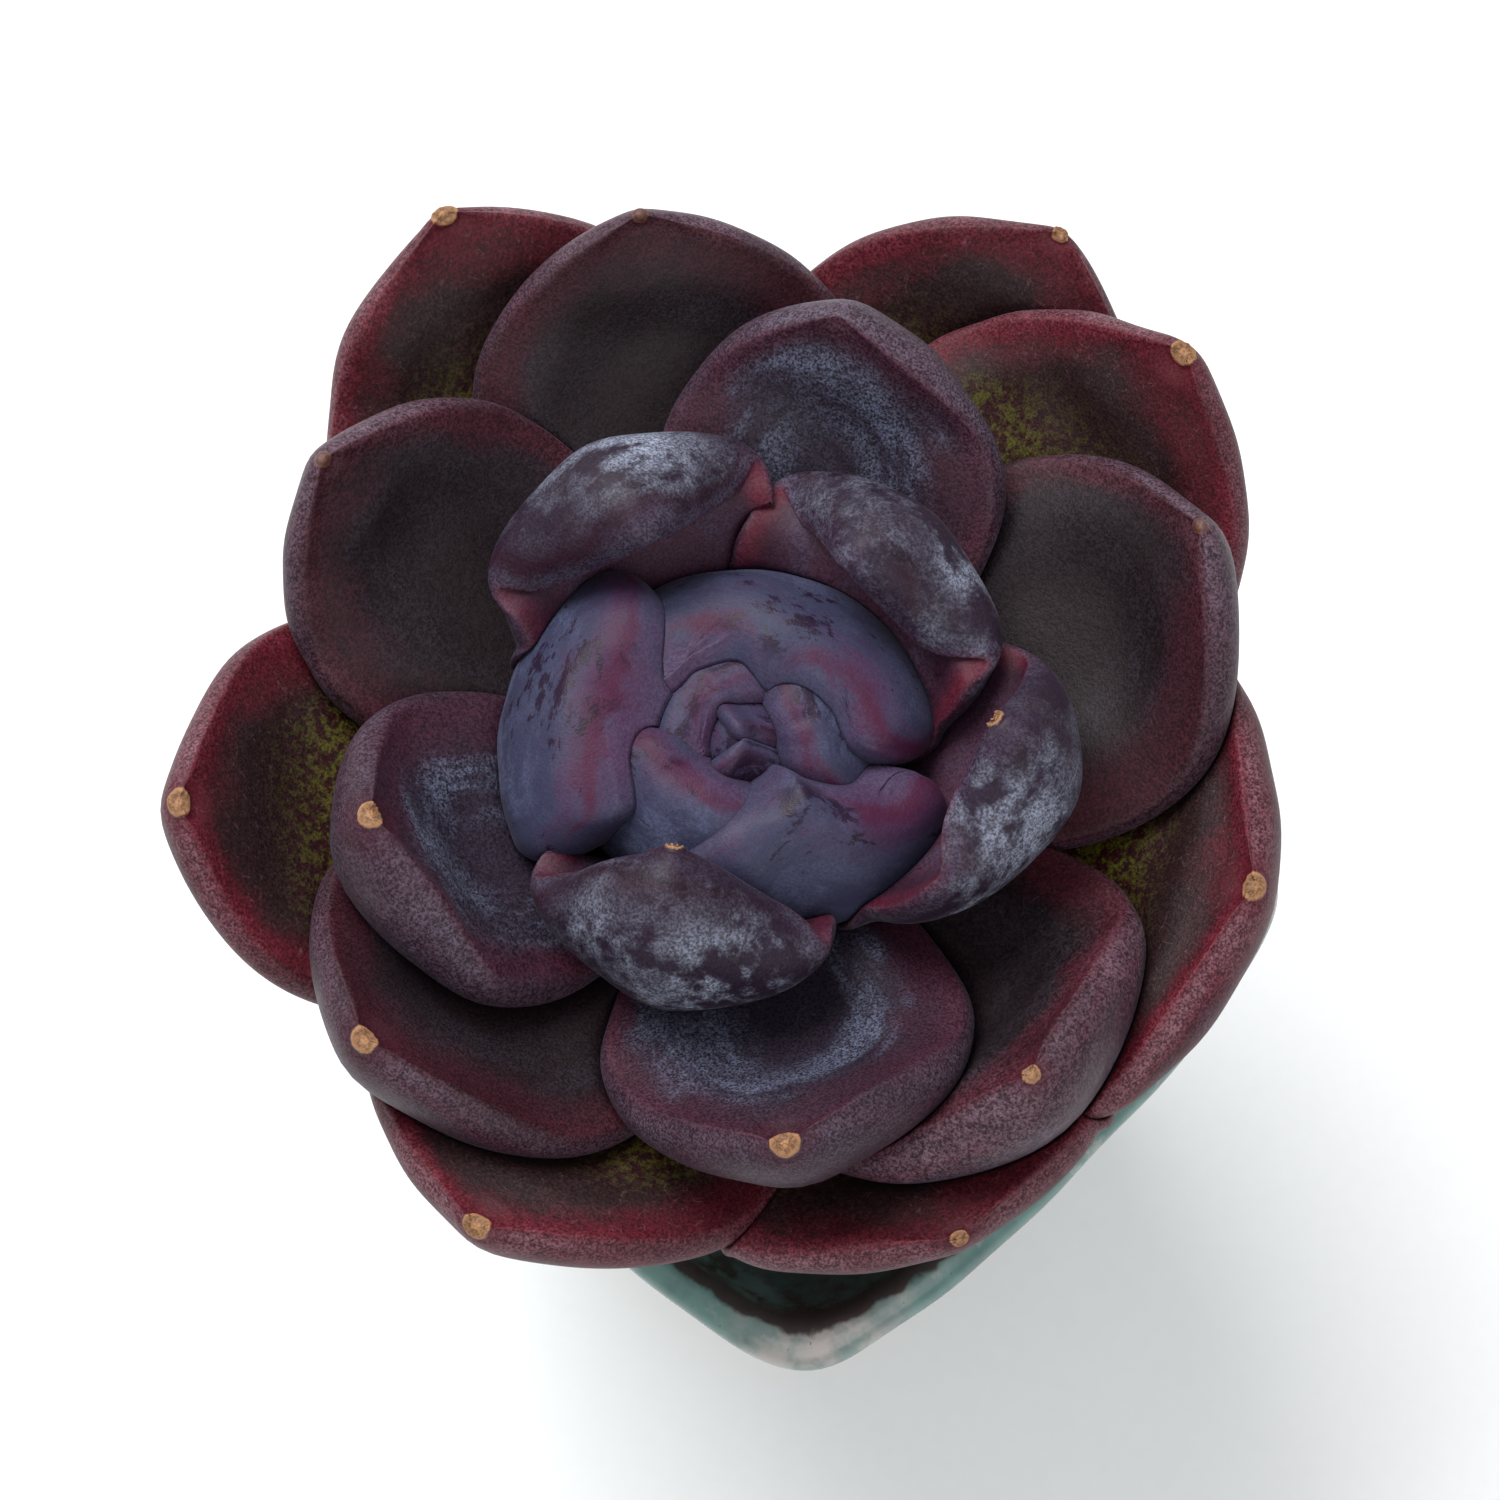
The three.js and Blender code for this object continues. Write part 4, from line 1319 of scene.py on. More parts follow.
    def grow(self, blade: Blade, rank: int) -> Grown:
        """A leaf as a grid: a fleshy section bent round the midrib and carried from the stem to the tip.

        The midrib has a sideways offset of lean times the square of the share along it. The section is a
        superellipse, flat above and keeled below, bent round the midrib by the wrap angle.

        Args:
            blade: The leaf's sizes.
            rank: Its place from the youngest, from 0.

        Returns:
            The grid in the part's frame, with its measures.
        """
        direction, base_z = self.heading(rank, blade.turn), self.base_height(rank)
        outward = np.array([math.cos(direction), math.sin(direction), 0.0])
        sideways = np.array([-math.sin(direction), math.cos(direction), 0.0])
        upward = np.array([0.0, 0.0, 1.0])
        rib = Midrib(blade, (self.stem_radius_at(base_z) - self.base_inside_stem, base_z))
        count, around = self.broad_shape if blade.half > self.broad else self.small_shape
        s = 1 - (1 - np.arange(count) / count) ** self.crowding

        run = rib.slope(s)
        drift = (2 * blade.lean * s / rib.length)[:, None]
        tangent = run[:, :1] * outward + run[:, 1:] * upward + drift * sideways
        tangent /= np.linalg.norm(tangent, axis=1, keepdims=True)
        inner = -run[:, 1:] * outward + run[:, :1] * upward
        inner -= (inner * tangent).sum(axis=1, keepdims=True) * tangent
        inner /= np.linalg.norm(inner, axis=1, keepdims=True)
        across = -np.cross(tangent, inner)
        across *= np.sign(across @ sideways)[:, None]
        twist = np.radians(blade.roll * s)[:, None]
        up = inner * np.cos(twist) + across * np.sin(twist)
        side = across * np.cos(twist) - inner * np.sin(twist)

        width, thickness, wrap = self.section(blade, rank / self.oldest, rib, s)
        angle = circle(around)
        q, h = (np.sign(turn) * np.abs(turn) ** blade.margin for turn in (np.cos(angle), np.sin(angle)))
        keel = self.keel * bell(q, 0, self.keel_half)[None] * np.minimum(1, s / self.thickest_at)[:, None]
        depth = thickness[:, None] * h * np.where(h > 0, self.upper_face, self.lower_face + keel)
        radius, turn = (width / wrap)[:, None], q[None] * wrap[:, None]
        x = (radius - depth) * np.sin(turn)
        y = radius * (1 - np.cos(turn)) + depth * np.cos(turn)
        middle, drift = rib.point(s), (blade.lean * s * s)[:, None]
        axis = np.array([*PLANT, 0.0])
        spine = axis + middle[:, :1] * outward + middle[:, 1:] * upward + drift * sideways
        rings = spine[:, None] + x[..., None] * side[:, None] + y[..., None] * up[:, None]
        end = axis + blade.tip[0] * outward + blade.tip[1] * upward + blade.lean * sideways
        push = blade.point * np.exp(-((np.linalg.norm(rings - end, axis=2) / self.point_reach) ** 1.2))
        rings = rings + push[..., None] * tangent[-1]
        end = end + blade.point * tangent[-1]

        whole = (count, around)
        from_side = np.maximum(width[:, None] * (1 - np.abs(q)), 1e-3)
        from_end = np.maximum((1 - s) * rib.length, 1e-3)[:, None]
        inset = (from_side ** -3 + from_end ** -3) ** (-1 / 3)
        place = [width[:, None] * q, np.broadcast_to((s * rib.length)[:, None], whole), inset]
        faces = [np.broadcast_to(smooth(h, -0.3, 0.3), whole), np.broadcast_to(s[:, None], whole),
                 np.linalg.norm(rings - end, axis=2)]
        hollow = (width / wrap * (1 - np.cos(wrap)))[:, None] * (1 - q * q)
        return Grown(rings, end, spine[0], np.stack(place, -1), np.stack(faces, -1), hollow)

    def relief(self, leaf: Grown, blade: Blade, tip: Tip, seed: int) -> None:
        """Raises the relief of a real leaf along the grid's normals.

        The upper face swells to a broad roll along the margin and part of its hollow is filled, as in a
        plump leaf. Both faces undulate softly and the margin waves a little. The tip carries a ring of
        cork round a sunken middle, or a small nub.

        Args:
            leaf: The leaf, changed in place.
            blade: Its sizes.
            tip: Its kind of tip.
            seed: Seed of its undulation.
        """
        across, along, inset = np.moveaxis(leaf.place, -1, 0)
        upper, reach, from_tip = np.moveaxis(leaf.side, -1, 0)
        scale = min(1.0, blade.half / self.full_size)
        free = smooth(reach, 0.15, 0.4)
        roll = self.roll * bell(inset, self.roll_at, self.roll_reach)
        hollow = self.fill * leaf.hollow * smooth(inset, 0, 9)
        waves = self.waves * ripple(across, along, 12 * scale, seed)
        height = free * (upper * (roll + hollow) * scale * blade.plump + scale * waves)
        frill = self.frill * scale * free * ripple(along, across * 0.2, 16 * scale, seed + 900, 3)
        height += frill * bell(inset, 0, 3)
        near = from_tip / tip.radius
        cork = sum(raised * bell(near, place, wide) for raised, place, wide in self.cork_rings)
        rough = self.crumble * ripple(across, along, 0.5, seed + 77) * smooth(near, 1.1, 0.8)
        nub = self.nub * bell(near, 0, 0.75) if tip is Tip.NUB else 0
        height = height * smooth(near, 0.6, 2.5)
        height += tip.cork * (cork + rough) + (1 - tip.cork) * nub
        leaf.rings = leaf.rings + height[..., None] * grid_normals(leaf.rings)
        leaf.tip = leaf.rings[-1].mean(axis=0)

    def press(self, leaf: Grown, standing: list[Solid], flip: Solid | None = None) -> None:
        """Presses a leaf clear of what already stands, the way crowded leaves dent each other.

        Its upper face keeps a hair's gap to them and its lower face a blade's least thickness. The shift
        is smoothed over the grid between two passes, and the last pass isn't smoothed.

        Args:
            leaf: The leaf, changed in place.
            standing: The younger leaves and the stem, which lie on its upper side.
            flip: The pot, which lies on its lower side.
        """
        upper = leaf.side[..., 0].ravel()
        above = self.upper_gap + (self.lower_gap - self.upper_gap) * (1 - upper)
        below = self.upper_gap + (self.lower_gap - self.upper_gap) * upper
        start = leaf.rings.reshape(-1, 3)
        moved = start
        for last in (False, False, True):
            for solid in standing:
                moved = solid.clear(moved, above)
            if flip is not None:
                moved = flip.clear(moved, below)
            if last:
                break
            shift = (moved - start).reshape(leaf.rings.shape)
            for _ in range(2):
                shift = 0.5 * shift + 0.25 * (np.roll(shift, 1, axis=1) + np.roll(shift, -1, axis=1))
                padded = np.concatenate([shift[:1], shift, shift[-1:]])
                shift = 0.5 * shift + 0.25 * (padded[:-2] + padded[2:])
            moved = start + shift.reshape(-1, 3)
        leaf.rings = moved.reshape(leaf.rings.shape)
        leaf.tip = leaf.rings[-1].mean(axis=0)

    def outside(self, leaf: Grown) -> Solid:
        """The lower face and the margins of a finished leaf, thinned out, as a solid to press clear of."""
        lower = leaf.side[::2, ::2, 0] < 0.75
        normals = grid_normals(leaf.rings)[::2, ::2]
        return Solid(leaf.rings[::2, ::2][lower], normals[lower], self.press_depth)

    def skin(self, leaf: Grown) -> Skin:
        """A finished leaf as a closed surface with its measures."""
        return Skin(leaf.rings, np.stack([leaf.base, leaf.tip]),
                    {"blade_place": leaf.place, "blade_side": leaf.side})

    def build(self, standing: list[Solid], pot: Solid) -> None:
        """Makes the bud and every leaf, youngest first, and puts each in the frame.

        Args:
            standing: What stands before the leaves: the stem.
            pot: The pot's wall, which the lowest leaves rest over.
        """
        standing.append(Heart().build(self))
        for rank, leaf in enumerate(LEAVES, len(HOODS)):
            grown = self.grow(leaf.blade, rank)
            self.relief(grown, leaf.blade, leaf.tip, seed=rank)
            self.press(grown, standing, pot)
            standing.append(self.outside(grown))
            put_leaf(self.skin(grown), rank, leaf.coat, leaf.tip, self.age_at(rank))

    def age_at(self, rank: int) -> Age:
        """How old the leaf of a rank is, as in the record."""
        share = rank / self.oldest
        if share < self.young_until:
            return Age.YOUNG
        return Age.MIDDLE if share < self.middle_until else Age.OLD


# Stem


@dataclass
class Stem:
    """The short corky stem from the soil to the growing point, with a thickened root. Lengths are mm."""

    foot: float = 42.0
    top: float = 75.0
    scar_pitch: float = 2.1
    scars: float = 0.035
    cracks: float = 0.02
    lean: float = 2.4
    upright: float = 64.0
    root_length: float = 6.75
    root_tip: float = 0.25
    shape: tuple[int, int] = (140, 72)

    def rings(self, rosette: Rosette) -> np.ndarray:
        """The stem's grid: circles along a leaning axis, with the ridges of old leaf scars.

        The radius is the rosette's stem radius, thinner at the root's end, times one plus the scars'
        relief: rows of shallow lips on a golden-angle spiral, and fine cracks.

        Args:
            rosette: Gives the stem's radius at a height.

        Returns:
            The grid, (rings, around, 3).
        """
        count, around = self.shape
        z = np.linspace(self.foot, self.top, count)
        angle = circle(around)
        radius = np.array([rosette.stem_radius_at(value) for value in z])
        taper = self.root_tip + (1 - self.root_tip) * (z - self.foot) / self.root_length
        radius = radius * np.minimum(1, taper)
        spiral = z[:, None] / self.scar_pitch * math.radians(rosette.golden_angle) - angle[None]
        lips = self.scars * np.sin(2 * math.pi * z / self.scar_pitch)[:, None] * (0.6 + 0.4 * np.cos(spiral))
        cracks = self.cracks * ripple(angle[None] * 4, z[:, None], 1.2, 41)
        radius = radius[:, None] * (1 + lips + cracks)
        lean = self.lean * np.maximum(0, (self.upright - z) / (self.upright - self.foot))
        x = PLANT[0] + lean[:, None] + radius * np.cos(angle)
        y = PLANT[1] + radius * np.sin(angle)
        return np.stack([x, y, np.broadcast_to(z[:, None], x.shape)], axis=-1)

    def build(self, rosette: Rosette) -> Solid:
        """Makes the stem and puts it in the frame.

        Args:
            rosette: Gives the stem's radius at a height.

        Returns:
            The stem's outside, to press leaves clear of.
        """
        rings = self.rings(rosette)
        ends = np.array([[PLANT[0] + self.lean, PLANT[1], self.foot - 0.6], [*PLANT, self.top + 0.8]])
        join_frame(Skin(rings, ends).put("stem_bark", self.bark()), "stem", "stem_bark")
        sparse = rings[::3, ::3]
        return Solid(sparse.reshape(-1, 3), grid_normals(sparse).reshape(-1, 3), self.lean)

    def bark(self) -> bpy.types.Material:
        """Corky bark: brown with pale papery scars and dark cracks."""
        work = Finish("stem_cork")
        patch = work.noise(1.6, 2.0, detail=5.0, rough=0.65)
        crack = work.step(work.cells(0.9, 4.0), 0.05, 0.3)
        colour = work.mix(work.step(patch, 0.35, 0.65), paint(92, 66, 44), paint(168, 142, 106))
        colour = work.mix(crack, paint(52, 38, 26), colour)
        return work.finish(colour, work.spread(patch, 0.75, 0.95), work.bump(patch, 0.25))


# Pot, soil and drain mesh


@dataclass(frozen=True)
class Glaze:
    """The pot's glaze: teal where it is thick, brown where it thins over an edge, on pale stoneware.

    pale_at and brown_at give the mm past the rim's crest at which a band starts, is full, fades and ends.
    run is the width and the length of a run of glaze down the wall, mm.
    """

    teal: Colour = paint(94, 127, 121)
    deep: Colour = paint(60, 84, 84)
    brown: Colour = paint(50, 40, 38)
    pale: Colour = paint(170, 162, 158)
    clay: Colour = paint(178, 150, 122)
    pale_at: Band = (-5.0, -2.8, 0.0, 0.8)
    brown_at: Band = (-0.3, 0.2, 1.3, 2.6)
    run: tuple[float, float] = (3.0, 16.0)

    def material(self) -> bpy.types.Material:
        """The node material, by height, by distance in from the crest of the rim, and by corner.

        Returns:
            The material.
        """
        work = Finish("pot_teal_glaze")
        past_crest, height, corner = work.attribute("pot_place")
        speck = work.noise(0.5, 1.0, detail=3.0, rough=0.6)
        mottle = work.noise(3.0, 2.0, detail=4.0, rough=0.6)
        cloud = work.noise(11.0, 3.0, detail=2.0)
        runs = work.noise(1.0, 5.0, detail=3.0, place=self.run_place(work), unit=1.0)
        flow = work.plus(past_crest, work.plus(work.spread(runs, -0.8, 0.8), work.spread(mottle, -0.9, 0.9)))
        outside = work.mix(work.step(runs, 0.35, 0.7), self.teal, work.mix(mottle, self.deep, self.teal))
        outside = work.mix(work.times(0.55, work.step(mottle, 0.55, 0.72)), outside, self.pale)
        browned = work.times(0.85, work.step(mottle, 0.45, 0.62), work.step(past_crest, 9.0, 3.0))
        within = work.mix(browned, work.mix(work.step(cloud, 0.4, 0.6), self.teal, self.deep), self.brown)
        colour = work.mix(work.step(past_crest, -0.5, 1.5), outside, within)
        thinned = work.plus(work.step(corner, 0.86, 1.0), work.times(0.5, work.step(cloud, 0.5, 0.62)))
        patchy = work.times(thinned, work.spread(work.step(mottle, 0.34, 0.6), 0.25, 1.0))
        colour = work.mix(work.times(0.85, patchy, work.hump(flow, *self.pale_at)), colour, self.pale)
        colour = work.mix(work.times(0.92, work.hump(flow, *self.brown_at)), colour, self.brown)
        drip = work.plus(height, work.spread(runs, -3.0, 3.0))
        colour = work.mix(work.step(drip, 5.2, 4.0), colour, self.brown)
        bare = work.step(drip, 4.4, 3.9)
        colour = work.mix(bare, colour, work.shade(self.clay, work.spread(speck, 0.8, 1.15)))
        colour = work.mix(work.times(0.6, work.step(speck, 0.66, 0.72)), colour, self.brown)
        rough = work.plus(work.spread(mottle, 0.16, 0.3), work.times(bare, 0.55))
        waves = work.plus(work.times(cloud, 0.7), work.times(speck, 0.06))
        return work.finish(colour, rough, work.bump(waves, 0.35), {"Specular IOR Level": 0.5})

    def run_place(self, work: Finish) -> Socket:
        """Object coordinates squeezed along Z, so that noise on them runs down the wall."""
        squeeze = work.add("ShaderNodeMapping")
        wide, high = (1 / (size * MM) for size in self.run)
        work.dial(squeeze, {"Vector": work.place, "Scale": (wide, wide, high)})
        return squeeze.outputs[0]


@dataclass
class Pot:
    """The square pot: a wall that swells up from a foot ring and flares to a rolled rim. Lengths are mm."""

    centre: tuple[float, float] = (12.1, -4.7)
    height: float = 60.0
    half_top: float = 34.0
    half_foot: float = 23.0
    swell: float = 4.0
    flare: float = 7.0
    flare_z: float = 42.0
    wall: float = 3.6
    floor: float = 6.0
    lip: float = 2.0
    foot_ring: float = 6.0
    foot_recess: float = 1.6
    foot_bevel: float = 1.0
    floor_bevel: float = 2.0
    drain_radius: float = 4.0
    square_foot: float = 4.4
    square_top: float = 8.0
    floor_square: float = 4.0
    bowed: float = 0.062
    throwing: float = 0.12
    crowding: float = 0.12
    around: int = 176
    finish: Glaze = Glaze()

    def half_at(self, z: np.ndarray) -> np.ndarray:
        """Half width of the outer wall: a sine swell, plus a squared flare above the flare's foot."""
        flare = np.maximum(0, (z - self.flare_z) / (self.height - self.flare_z)) ** 2
        return self.half_foot + self.swell * np.sin(z / self.height * math.pi / 2) + self.flare * flare

    def room_at(self, z: float) -> float:
        """Half width of the room inside the wall at a height."""
        return float(self.half_at(np.array(z))) - self.wall

    def power_at(self, z: np.ndarray) -> np.ndarray:
        """How square the pot is at a height: 2 is round, and more is squarer."""
        return self.square_foot + (self.square_top - self.square_foot) * z / self.height

    def rings(self, half: np.ndarray, z: np.ndarray, power: np.ndarray) -> np.ndarray:
        """Level superellipses: radius = half / (|cos|^p + |sin|^p)^(1/p), crowded at the corners.

        Towards the rim the sides are bowed: the corners draw in by a share of the radius.

        Args:
            half: Half width of each ring.
            z: Its height.
            power: Its squareness.

        Returns:
            The grid, (rings, around, 3).
        """
        even = circle(self.around)
        angle = even + self.crowding * np.sin(4 * even)
        c, s, p = np.cos(angle), np.sin(angle), power[:, None]
        radius = half[:, None] / (np.abs(c) ** p + np.abs(s) ** p) ** (1 / p)
        radius = radius * (1 - self.bowed * (z / self.height)[:, None] * np.sin(2 * angle) ** 4)
        x, y = self.centre[0] + radius * c, self.centre[1] + radius * s
        return np.stack([x, y, np.broadcast_to(z[:, None], x.shape)], axis=-1)

    def profile(self) -> np.ndarray:
        """The wall's profile from the drain hole out under the foot, up, over the lip and back down.

        Returns:
            Rows of half width, height, squareness, and distance past the crest, more than 0 on the inside.
        """
        round_, soft = 2.0, 3.0
        inner_foot, outer_foot = self.half_foot - self.foot_ring, self.half_foot - self.foot_bevel
        recess = np.array([[self.drain_radius, self.foot_recess, round_],
                           [self.drain_radius + 0.5, self.foot_recess, round_],
                           [10.0, self.foot_recess, soft],
                           [inner_foot - self.foot_bevel - 0.3, self.foot_recess, self.floor_square],
                           [inner_foot - self.foot_bevel, self.foot_recess - 0.1, self.floor_square],
                           [inner_foot - 0.2, 0.1, self.floor_square],
                           [inner_foot, 0.0, self.floor_square],
                           [outer_foot, 0.0, self.square_foot],
                           [outer_foot + 0.3, 0.06, self.square_foot]])
        up = np.linspace(1.2, 55.0, 52)
        outer = np.stack([self.half_at(up), up, self.power_at(up)], axis=-1)
        turn = np.radians(np.linspace(-30, 165, 22))
        lip = np.stack([self.half_top - self.lip + self.lip * np.cos(turn),
                        self.height - self.lip + self.lip * np.sin(turn),
                        np.full(turn.shape, self.square_top)], axis=-1)
        down = np.linspace(55.5, 9.0, 40)
        inner = np.stack([self.half_at(down) - self.wall, down, self.power_at(down)], axis=-1)
        floor_half = self.room_at(self.floor) - self.floor_bevel
        base = np.array([[floor_half + 0.5, self.floor + 0.5, self.floor_square],
                         [floor_half, self.floor, self.floor_square],
                         [10.0, self.floor, soft],
                         [self.drain_radius + 0.5, self.floor, round_],
                         [self.drain_radius, self.floor - 0.4, round_]])
        rows = np.concatenate([recess, outer, lip, inner, base])
        crest = len(recess) + len(outer) + int(np.argmax(lip[:, 1]))
        run = run_along(rows[:, :2])
        return np.concatenate([rows, (run - run[crest])[:, None]], axis=1)

    def build(self) -> Solid:
        """Makes the pot and puts it in the frame.

        Returns:
            The rim's outside, to press leaves clear of.
        """
        rows = self.profile()
        rings = self.rings(rows[:, 0], rows[:, 1], rows[:, 2])
        normals = grid_normals(rings)
        thrown = self.throwing * ripple(rings[..., 0] + rings[..., 1], rings[..., 2] * 2, 14, 7)
        free = smooth(rows[:, 1], 4.0, 9.0)[:, None]
        rings = rings + (thrown * free)[..., None] * normals
        heading = np.arctan2(rings[..., 1] - self.centre[1], rings[..., 0] - self.centre[0])
        corner = 0.5 - 0.5 * np.cos(4 * heading)
        past_crest, height = (np.broadcast_to(rows[:, column][:, None], corner.shape) for column in (3, 1))
        measures = np.stack([past_crest, height, corner], -1)
        piece = Skin(rings, None, {"pot_place": measures}).put("pot_wall", self.finish.material())
        join_frame(piece, "pot", "pot_glaze")
        rim = rings[(rows[:, 1] > 50) & (np.abs(rows[:, 3]) < 12)][::2, ::2]
        return Solid(rim.reshape(-1, 3), self.rim_normals(rim).reshape(-1, 3), 1.5)

    def rim_normals(self, rim: np.ndarray) -> np.ndarray:
        """Normals of the rim's open strip, turned so that they point up at its crest."""
        normals = grid_normals(rim)
        crest = np.unravel_index(np.argmax(rim[..., 2]), rim.shape[:2])
        return normals if normals[crest][2] > 0 else -normals


@dataclass
class Soil:
    """Gritty potting mix with pumice, up to the foot of the pot's flared rim. Lengths are mm."""

    top: float = 50.0
    relief: float = 0.7
    margin: float = 0.4
    grit: int = 420
    grit_margin: float = 2.2
    stem_lean: float = 1.5
    stem_room: float = 6.5
    crumb: float = 2.2

    def surface(self, x: np.ndarray, y: np.ndarray) -> np.ndarray:
        """Height of the bed: two coarse waves and one fine, plus crumbs of a few tenths."""
        coarse = np.sin(0.55 * x + 0.9) * np.sin(0.47 * y)
        fine = np.sin(1.3 * x - 0.8 * y) * np.cos(1.1 * y + 0.4 * x)
        crumbs = 0.25 * ripple(x, y, 1.6, 17, 12)
        return self.top + self.relief * (0.6 * coarse + 0.4 * fine) + crumbs

    def bed(self, pot: Pot) -> Skin:
        """The soil's body: rings up the inside of the pot, then rings inwards over its top.

        Args:
            pot: The pot that holds it.

        Returns:
            The surface.
        """
        up = np.array([pot.floor + 0.3, 9.0, 14.0, 20.0, 26.0, 32.0, 38.0, 42.0, 45.0, 48.0])
        half = pot.half_at(up) - pot.wall - self.margin
        half[0] = pot.room_at(pot.floor) - pot.floor_bevel - 0.6
        power = pot.power_at(up)
        power[0] = pot.floor_square
        walls = pot.rings(half, up, power)
        inward = 1 - np.linspace(0, 0.97, 70) ** 1.2
        edge, level = pot.room_at(self.top) - 2 * self.margin, np.full(inward.shape, self.top)
        top = pot.rings(edge * inward, level, pot.power_at(level))
        top[..., 2] = self.surface(top[..., 0] - pot.centre[0], top[..., 1] - pot.centre[1])
        ends = np.array([[*pot.centre, pot.floor + 0.3], [*pot.centre, float(top[-1, :, 2].mean())]])
        return Skin(np.concatenate([walls, top]), ends)

    def stones(self, pot: Pot) -> tuple[np.ndarray, np.ndarray, np.ndarray]:
        """Grit on the bed: small rough balls, each a grid of rings squashed and dented at random.

        Args:
            pot: Gives the room for them.

        Returns:
            Their points, (n, 3), the quads of their sides, and their two end caps.
        """
        draw = np.random.default_rng(23)
        half = pot.room_at(self.top) - self.grit_margin
        spot = draw.uniform(-half, half, (self.grit * 2, 2))
        stem = np.array(PLANT) + (self.stem_lean, 0) - pot.centre
        spot = spot[np.linalg.norm(spot - stem, axis=1) > self.stem_room][:self.grit]
        size = draw.uniform(0.5, 1.5, len(spot)) ** 1.4
        rows, around = 6, 8
        lift = np.linspace(-1, 1, rows) * math.radians(86)
        angle = circle(around)
        unit = np.stack([np.cos(lift)[:, None] * np.cos(angle), np.cos(lift)[:, None] * np.sin(angle),
                         np.broadcast_to(np.sin(lift)[:, None], (rows, around))], axis=-1)
        dent = draw.uniform(0.78, 1.18, (len(spot), rows, around, 1))
        squash = draw.uniform(0.6, 1.1, (len(spot), 1, 1, 3))
        sunk = self.surface(spot[:, 0], spot[:, 1]) + 0.25 * size
        centre = np.column_stack([spot + np.array(pot.centre), sunk])
        points = centre[:, None, None] + unit[None] * dent * squash * size[:, None, None, None]
        here = np.arange(rows * around).reshape(rows, around)
        caps = np.stack([here[0, ::-1], here[-1]])
        shift = np.arange(len(spot))[:, None, None] * rows * around
        return (points.reshape(-1, 3), (ring_quads(here)[None] + shift).reshape(-1, 4),
                (caps[None] + shift).reshape(-1, around))

    def build(self, pot: Pot) -> None:
        """Makes the soil with its grit as one piece and puts it in the frame.

        Args:
            pot: The pot that holds it.
        """
        points, quads, fans = self.bed(pot).closed()
        stones, sides, caps = self.stones(pot)
        parts = (quads, fans, sides + len(points), caps + len(points))
        faces = [face for part in parts for face in part.tolist()]
        piece = put_mesh("soil_bed", np.concatenate([points, stones]), faces, self.mix())
        join_frame(piece, "soil", "soil")

    def mix(self) -> bpy.types.Material:
        """Dark mix with pale pumice, tan grit and black crumbs, by cell."""
        work = Finish("soil_mix")
        cells = work.add("ShaderNodeTexVoronoi")
        work.dial(cells, {"Vector": work.place, "Scale": 1 / (self.crumb * MM)})
        pick = work.add("ShaderNodeSeparateColor")
        work.feed(pick.inputs[0], cells.outputs["Color"])
        crumb = work.noise(0.6, 3.0, detail=5.0, rough=0.7)
        colour = work.mix(work.step(pick.outputs[0], 0.3, 0.6), paint(46, 34, 26), paint(86, 66, 48))
        colour = work.mix(work.step(pick.outputs[1], 0.72, 0.76), colour, paint(176, 160, 136))
        colour = work.mix(work.step(pick.outputs[2], 0.8, 0.84), colour, paint(128, 92, 62))
        colour = work.shade(colour, work.spread(crumb, 0.4, 1.4))
        return work.finish(colour, 0.95, work.bump(crumb, 0.4))


def dress_drain_mesh() -> None:
    """Gives the drain mesh, which stays as it is in the frame, its moulded plastic."""
    work = Finish("drain_mesh_black")
    grain = work.noise(0.35, 8.0, detail=3.0, rough=0.6)
    dust = work.noise(2.5, 9.0, detail=4.0)
    colour = work.mix(work.times(0.5, work.step(dust, 0.45, 0.7)), paint(30, 33, 31), paint(74, 66, 54))
    material = work.finish(colour, work.spread(grain, 0.5, 0.7), work.bump(grain, 0.04))
    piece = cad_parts["drain_mesh"]
    piece.data.materials.clear()
    piece.data.materials.append(material)
    LOG.info("drain_mesh keeps its frame mesh")


# Studio


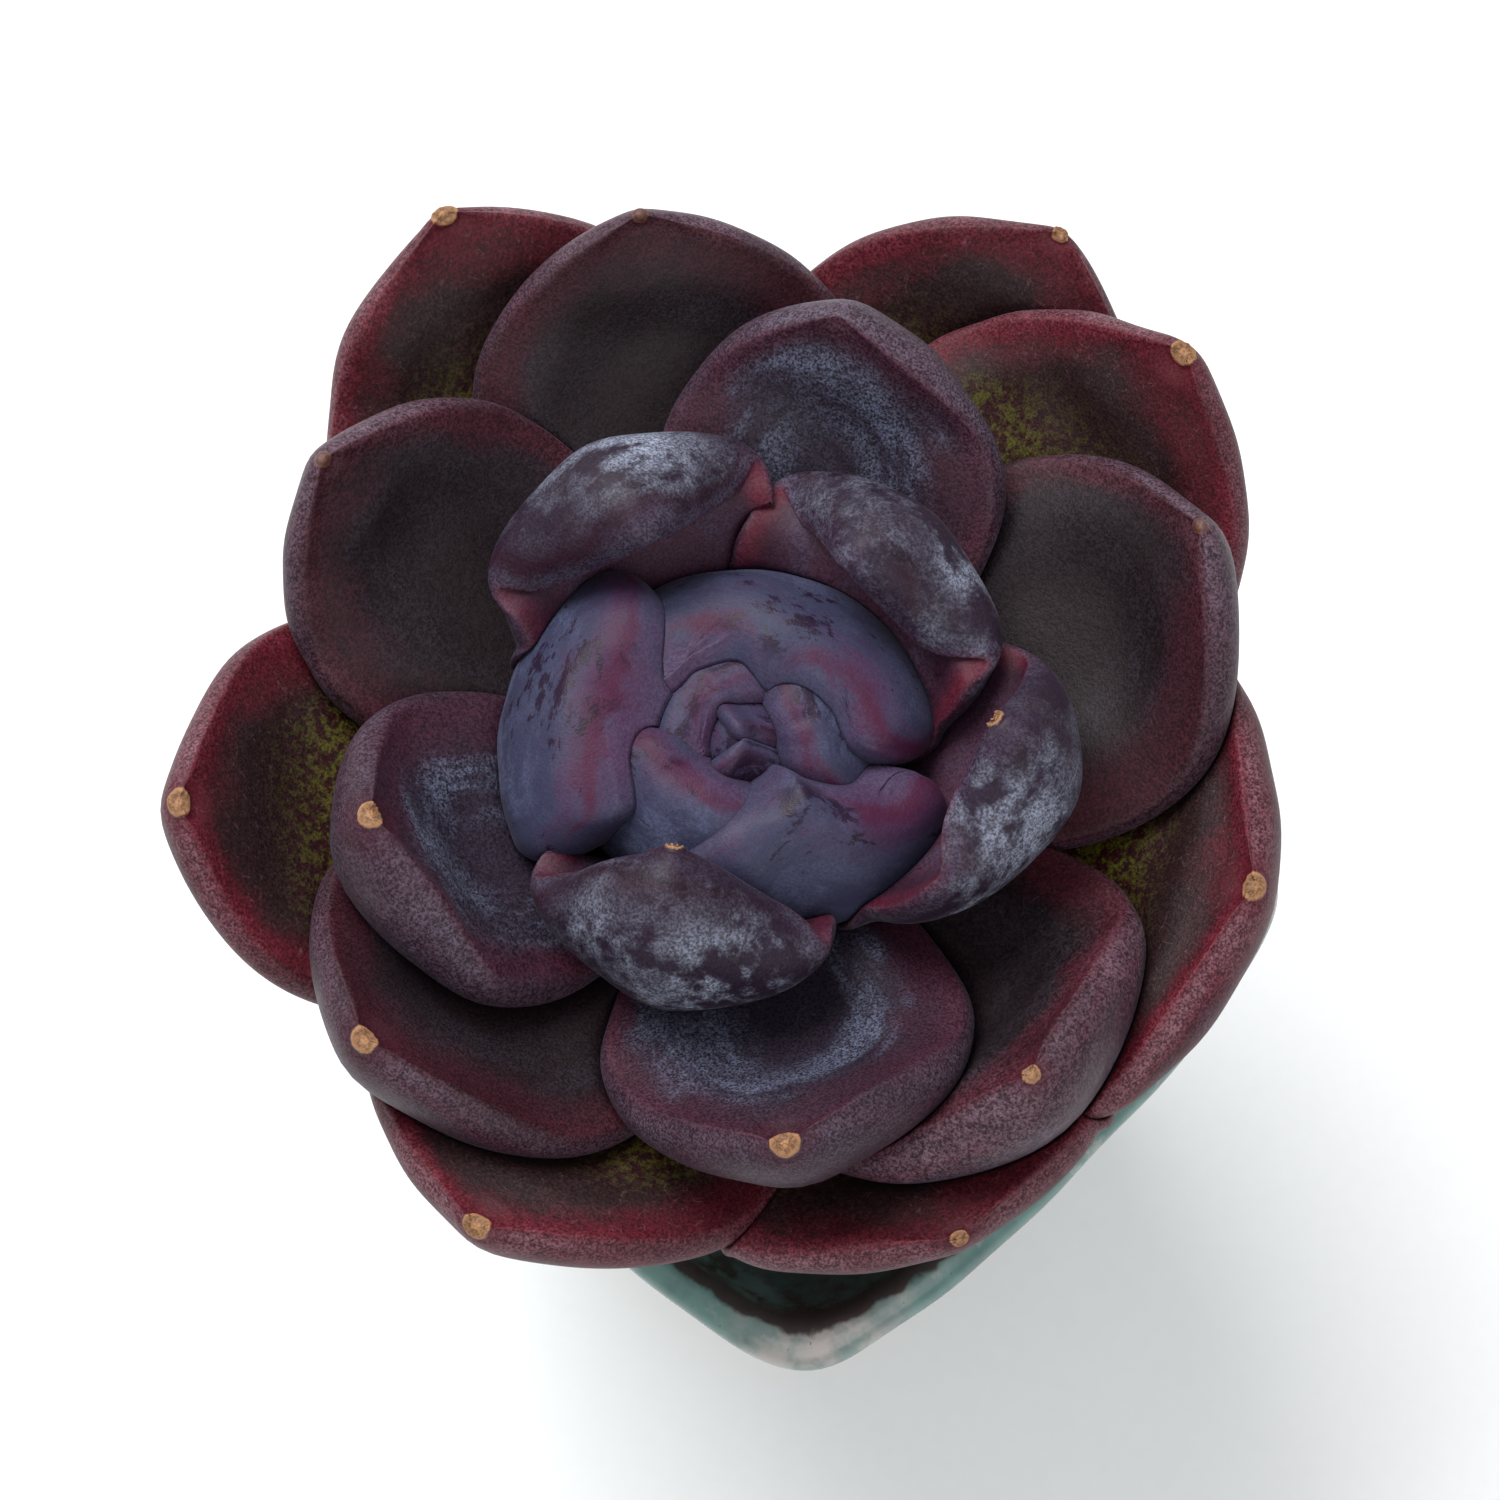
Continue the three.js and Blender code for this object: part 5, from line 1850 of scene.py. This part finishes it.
@dataclass
class Studio:
    """A pale floor, soft light from above, and the camera at the photograph's angle. Lengths are mm."""

    azimuth: float = 45.0
    elevation: float = 72.0
    distance: float = 300.0
    target: tuple[float, float, float] = (*PLANT, 83.0)
    focal_length: float = 89.3
    sensor: float = 36.0
    shift: tuple[float, float] = (5 / 1500, -8 / 1500)
    sky: float = 0.52
    key: float = 7.8
    key_place: tuple[float, float, float] = (-260, 420, 620)
    key_size: float = 520
    fill: float = 1.9
    fill_place: tuple[float, float, float] = (160, -420, 480)
    fill_size: float = 600
    floor_half: float = 3000.0

    def axes(self) -> tuple[np.ndarray, np.ndarray, np.ndarray]:
        """The camera's right, up and back directions."""
        turn, rise = math.radians(self.azimuth), math.radians(self.elevation)
        back = np.array([math.sin(turn) * math.cos(rise), -math.cos(turn) * math.cos(rise), math.sin(rise)])
        right = np.array([math.cos(turn), math.sin(turn), 0.0])
        return right, np.cross(back, right), back

    def camera(self) -> None:
        """Places the camera."""
        right, up, back = self.axes()
        eye = np.array(self.target) + back * self.distance
        lens = bpy.data.cameras.new("view")
        lens.lens, lens.sensor_width = self.focal_length, self.sensor
        lens.shift_x, lens.shift_y = self.shift
        lens.clip_start, lens.clip_end = 0.01, 20.0
        camera = bpy.data.objects.new("view", lens)
        turn = np.stack([right, up, back], 1)
        camera.matrix_world = Matrix([[*row, place * MM] for row, place in zip(turn, eye)] + [[0, 0, 0, 1]])
        bpy.context.scene.collection.objects.link(camera)
        bpy.context.scene.camera = camera

    def lamp(self, name: str, place: tuple[float, float, float], size: float, power: float) -> None:
        """A square soft light aimed at the rosette.

        Args:
            name: The lamp's name.
            place: Offset from the target to the right, up the picture's floor, and upwards, mm.
            size: Side of the lamp, mm.
            power: Its power in watts.
        """
        right = self.axes()[0]
        ahead = np.array([-right[1], right[0], 0.0])
        offset = right * place[0] + ahead * place[1] + np.array([0.0, 0.0, place[2]])
        light = bpy.data.lights.new(name, "AREA")
        light.size, light.energy = size * MM, power
        lamp = bpy.data.objects.new(name, light)
        lamp.location = Vector((np.array(self.target) + offset) * MM)
        lamp.rotation_euler = Vector(offset).to_track_quat("Z", "Y").to_euler()
        bpy.context.scene.collection.objects.link(lamp)

    def floor(self) -> None:
        """A wide pale floor with a faint tooth."""
        work = Finish("floor_paper")
        tooth = work.noise(1.5, 1.0, detail=3.0)
        colour = work.mix(tooth, paint(243, 243, 243), paint(247, 247, 247))
        material = work.finish(colour, 0.9, None, {"Specular IOR Level": 0.1})
        side = self.floor_half
        corners = np.array([[-side, -side, 0], [side, -side, 0], [side, side, 0], [-side, side, 0]])
        put_mesh("floor", corners, [[0, 1, 2, 3]], material)

    def build(self) -> None:
        """Sets the camera, the floor, the lamps, the sky and the view transform."""
        self.camera()
        self.floor()
        self.lamp("key_light", self.key_place, self.key_size, self.key)
        self.lamp("fill_light", self.fill_place, self.fill_size, self.fill)
        world = bpy.data.worlds.new("sky")
        world.use_nodes = True
        sky = world.node_tree.nodes["Background"]
        sky.inputs["Color"].default_value = (0.96, 0.98, 1.0, 1.0)
        sky.inputs["Strength"].default_value = self.sky
        bpy.context.scene.world = world
        bpy.context.scene.view_settings.view_transform = "Standard"


def main() -> None:
    """Builds the studio, the pot and the plant in order, and reports each piece."""
    logging.basicConfig(level=logging.INFO, format="%(name)s: %(message)s")
    Studio().build()
    pot, rosette, stem = Pot(), Rosette(), Stem()
    rim = pot.build()
    Soil().build(pot)
    dress_drain_mesh()
    rosette.build([stem.build(rosette)], rim)


if __name__ == "__main__":
    main()
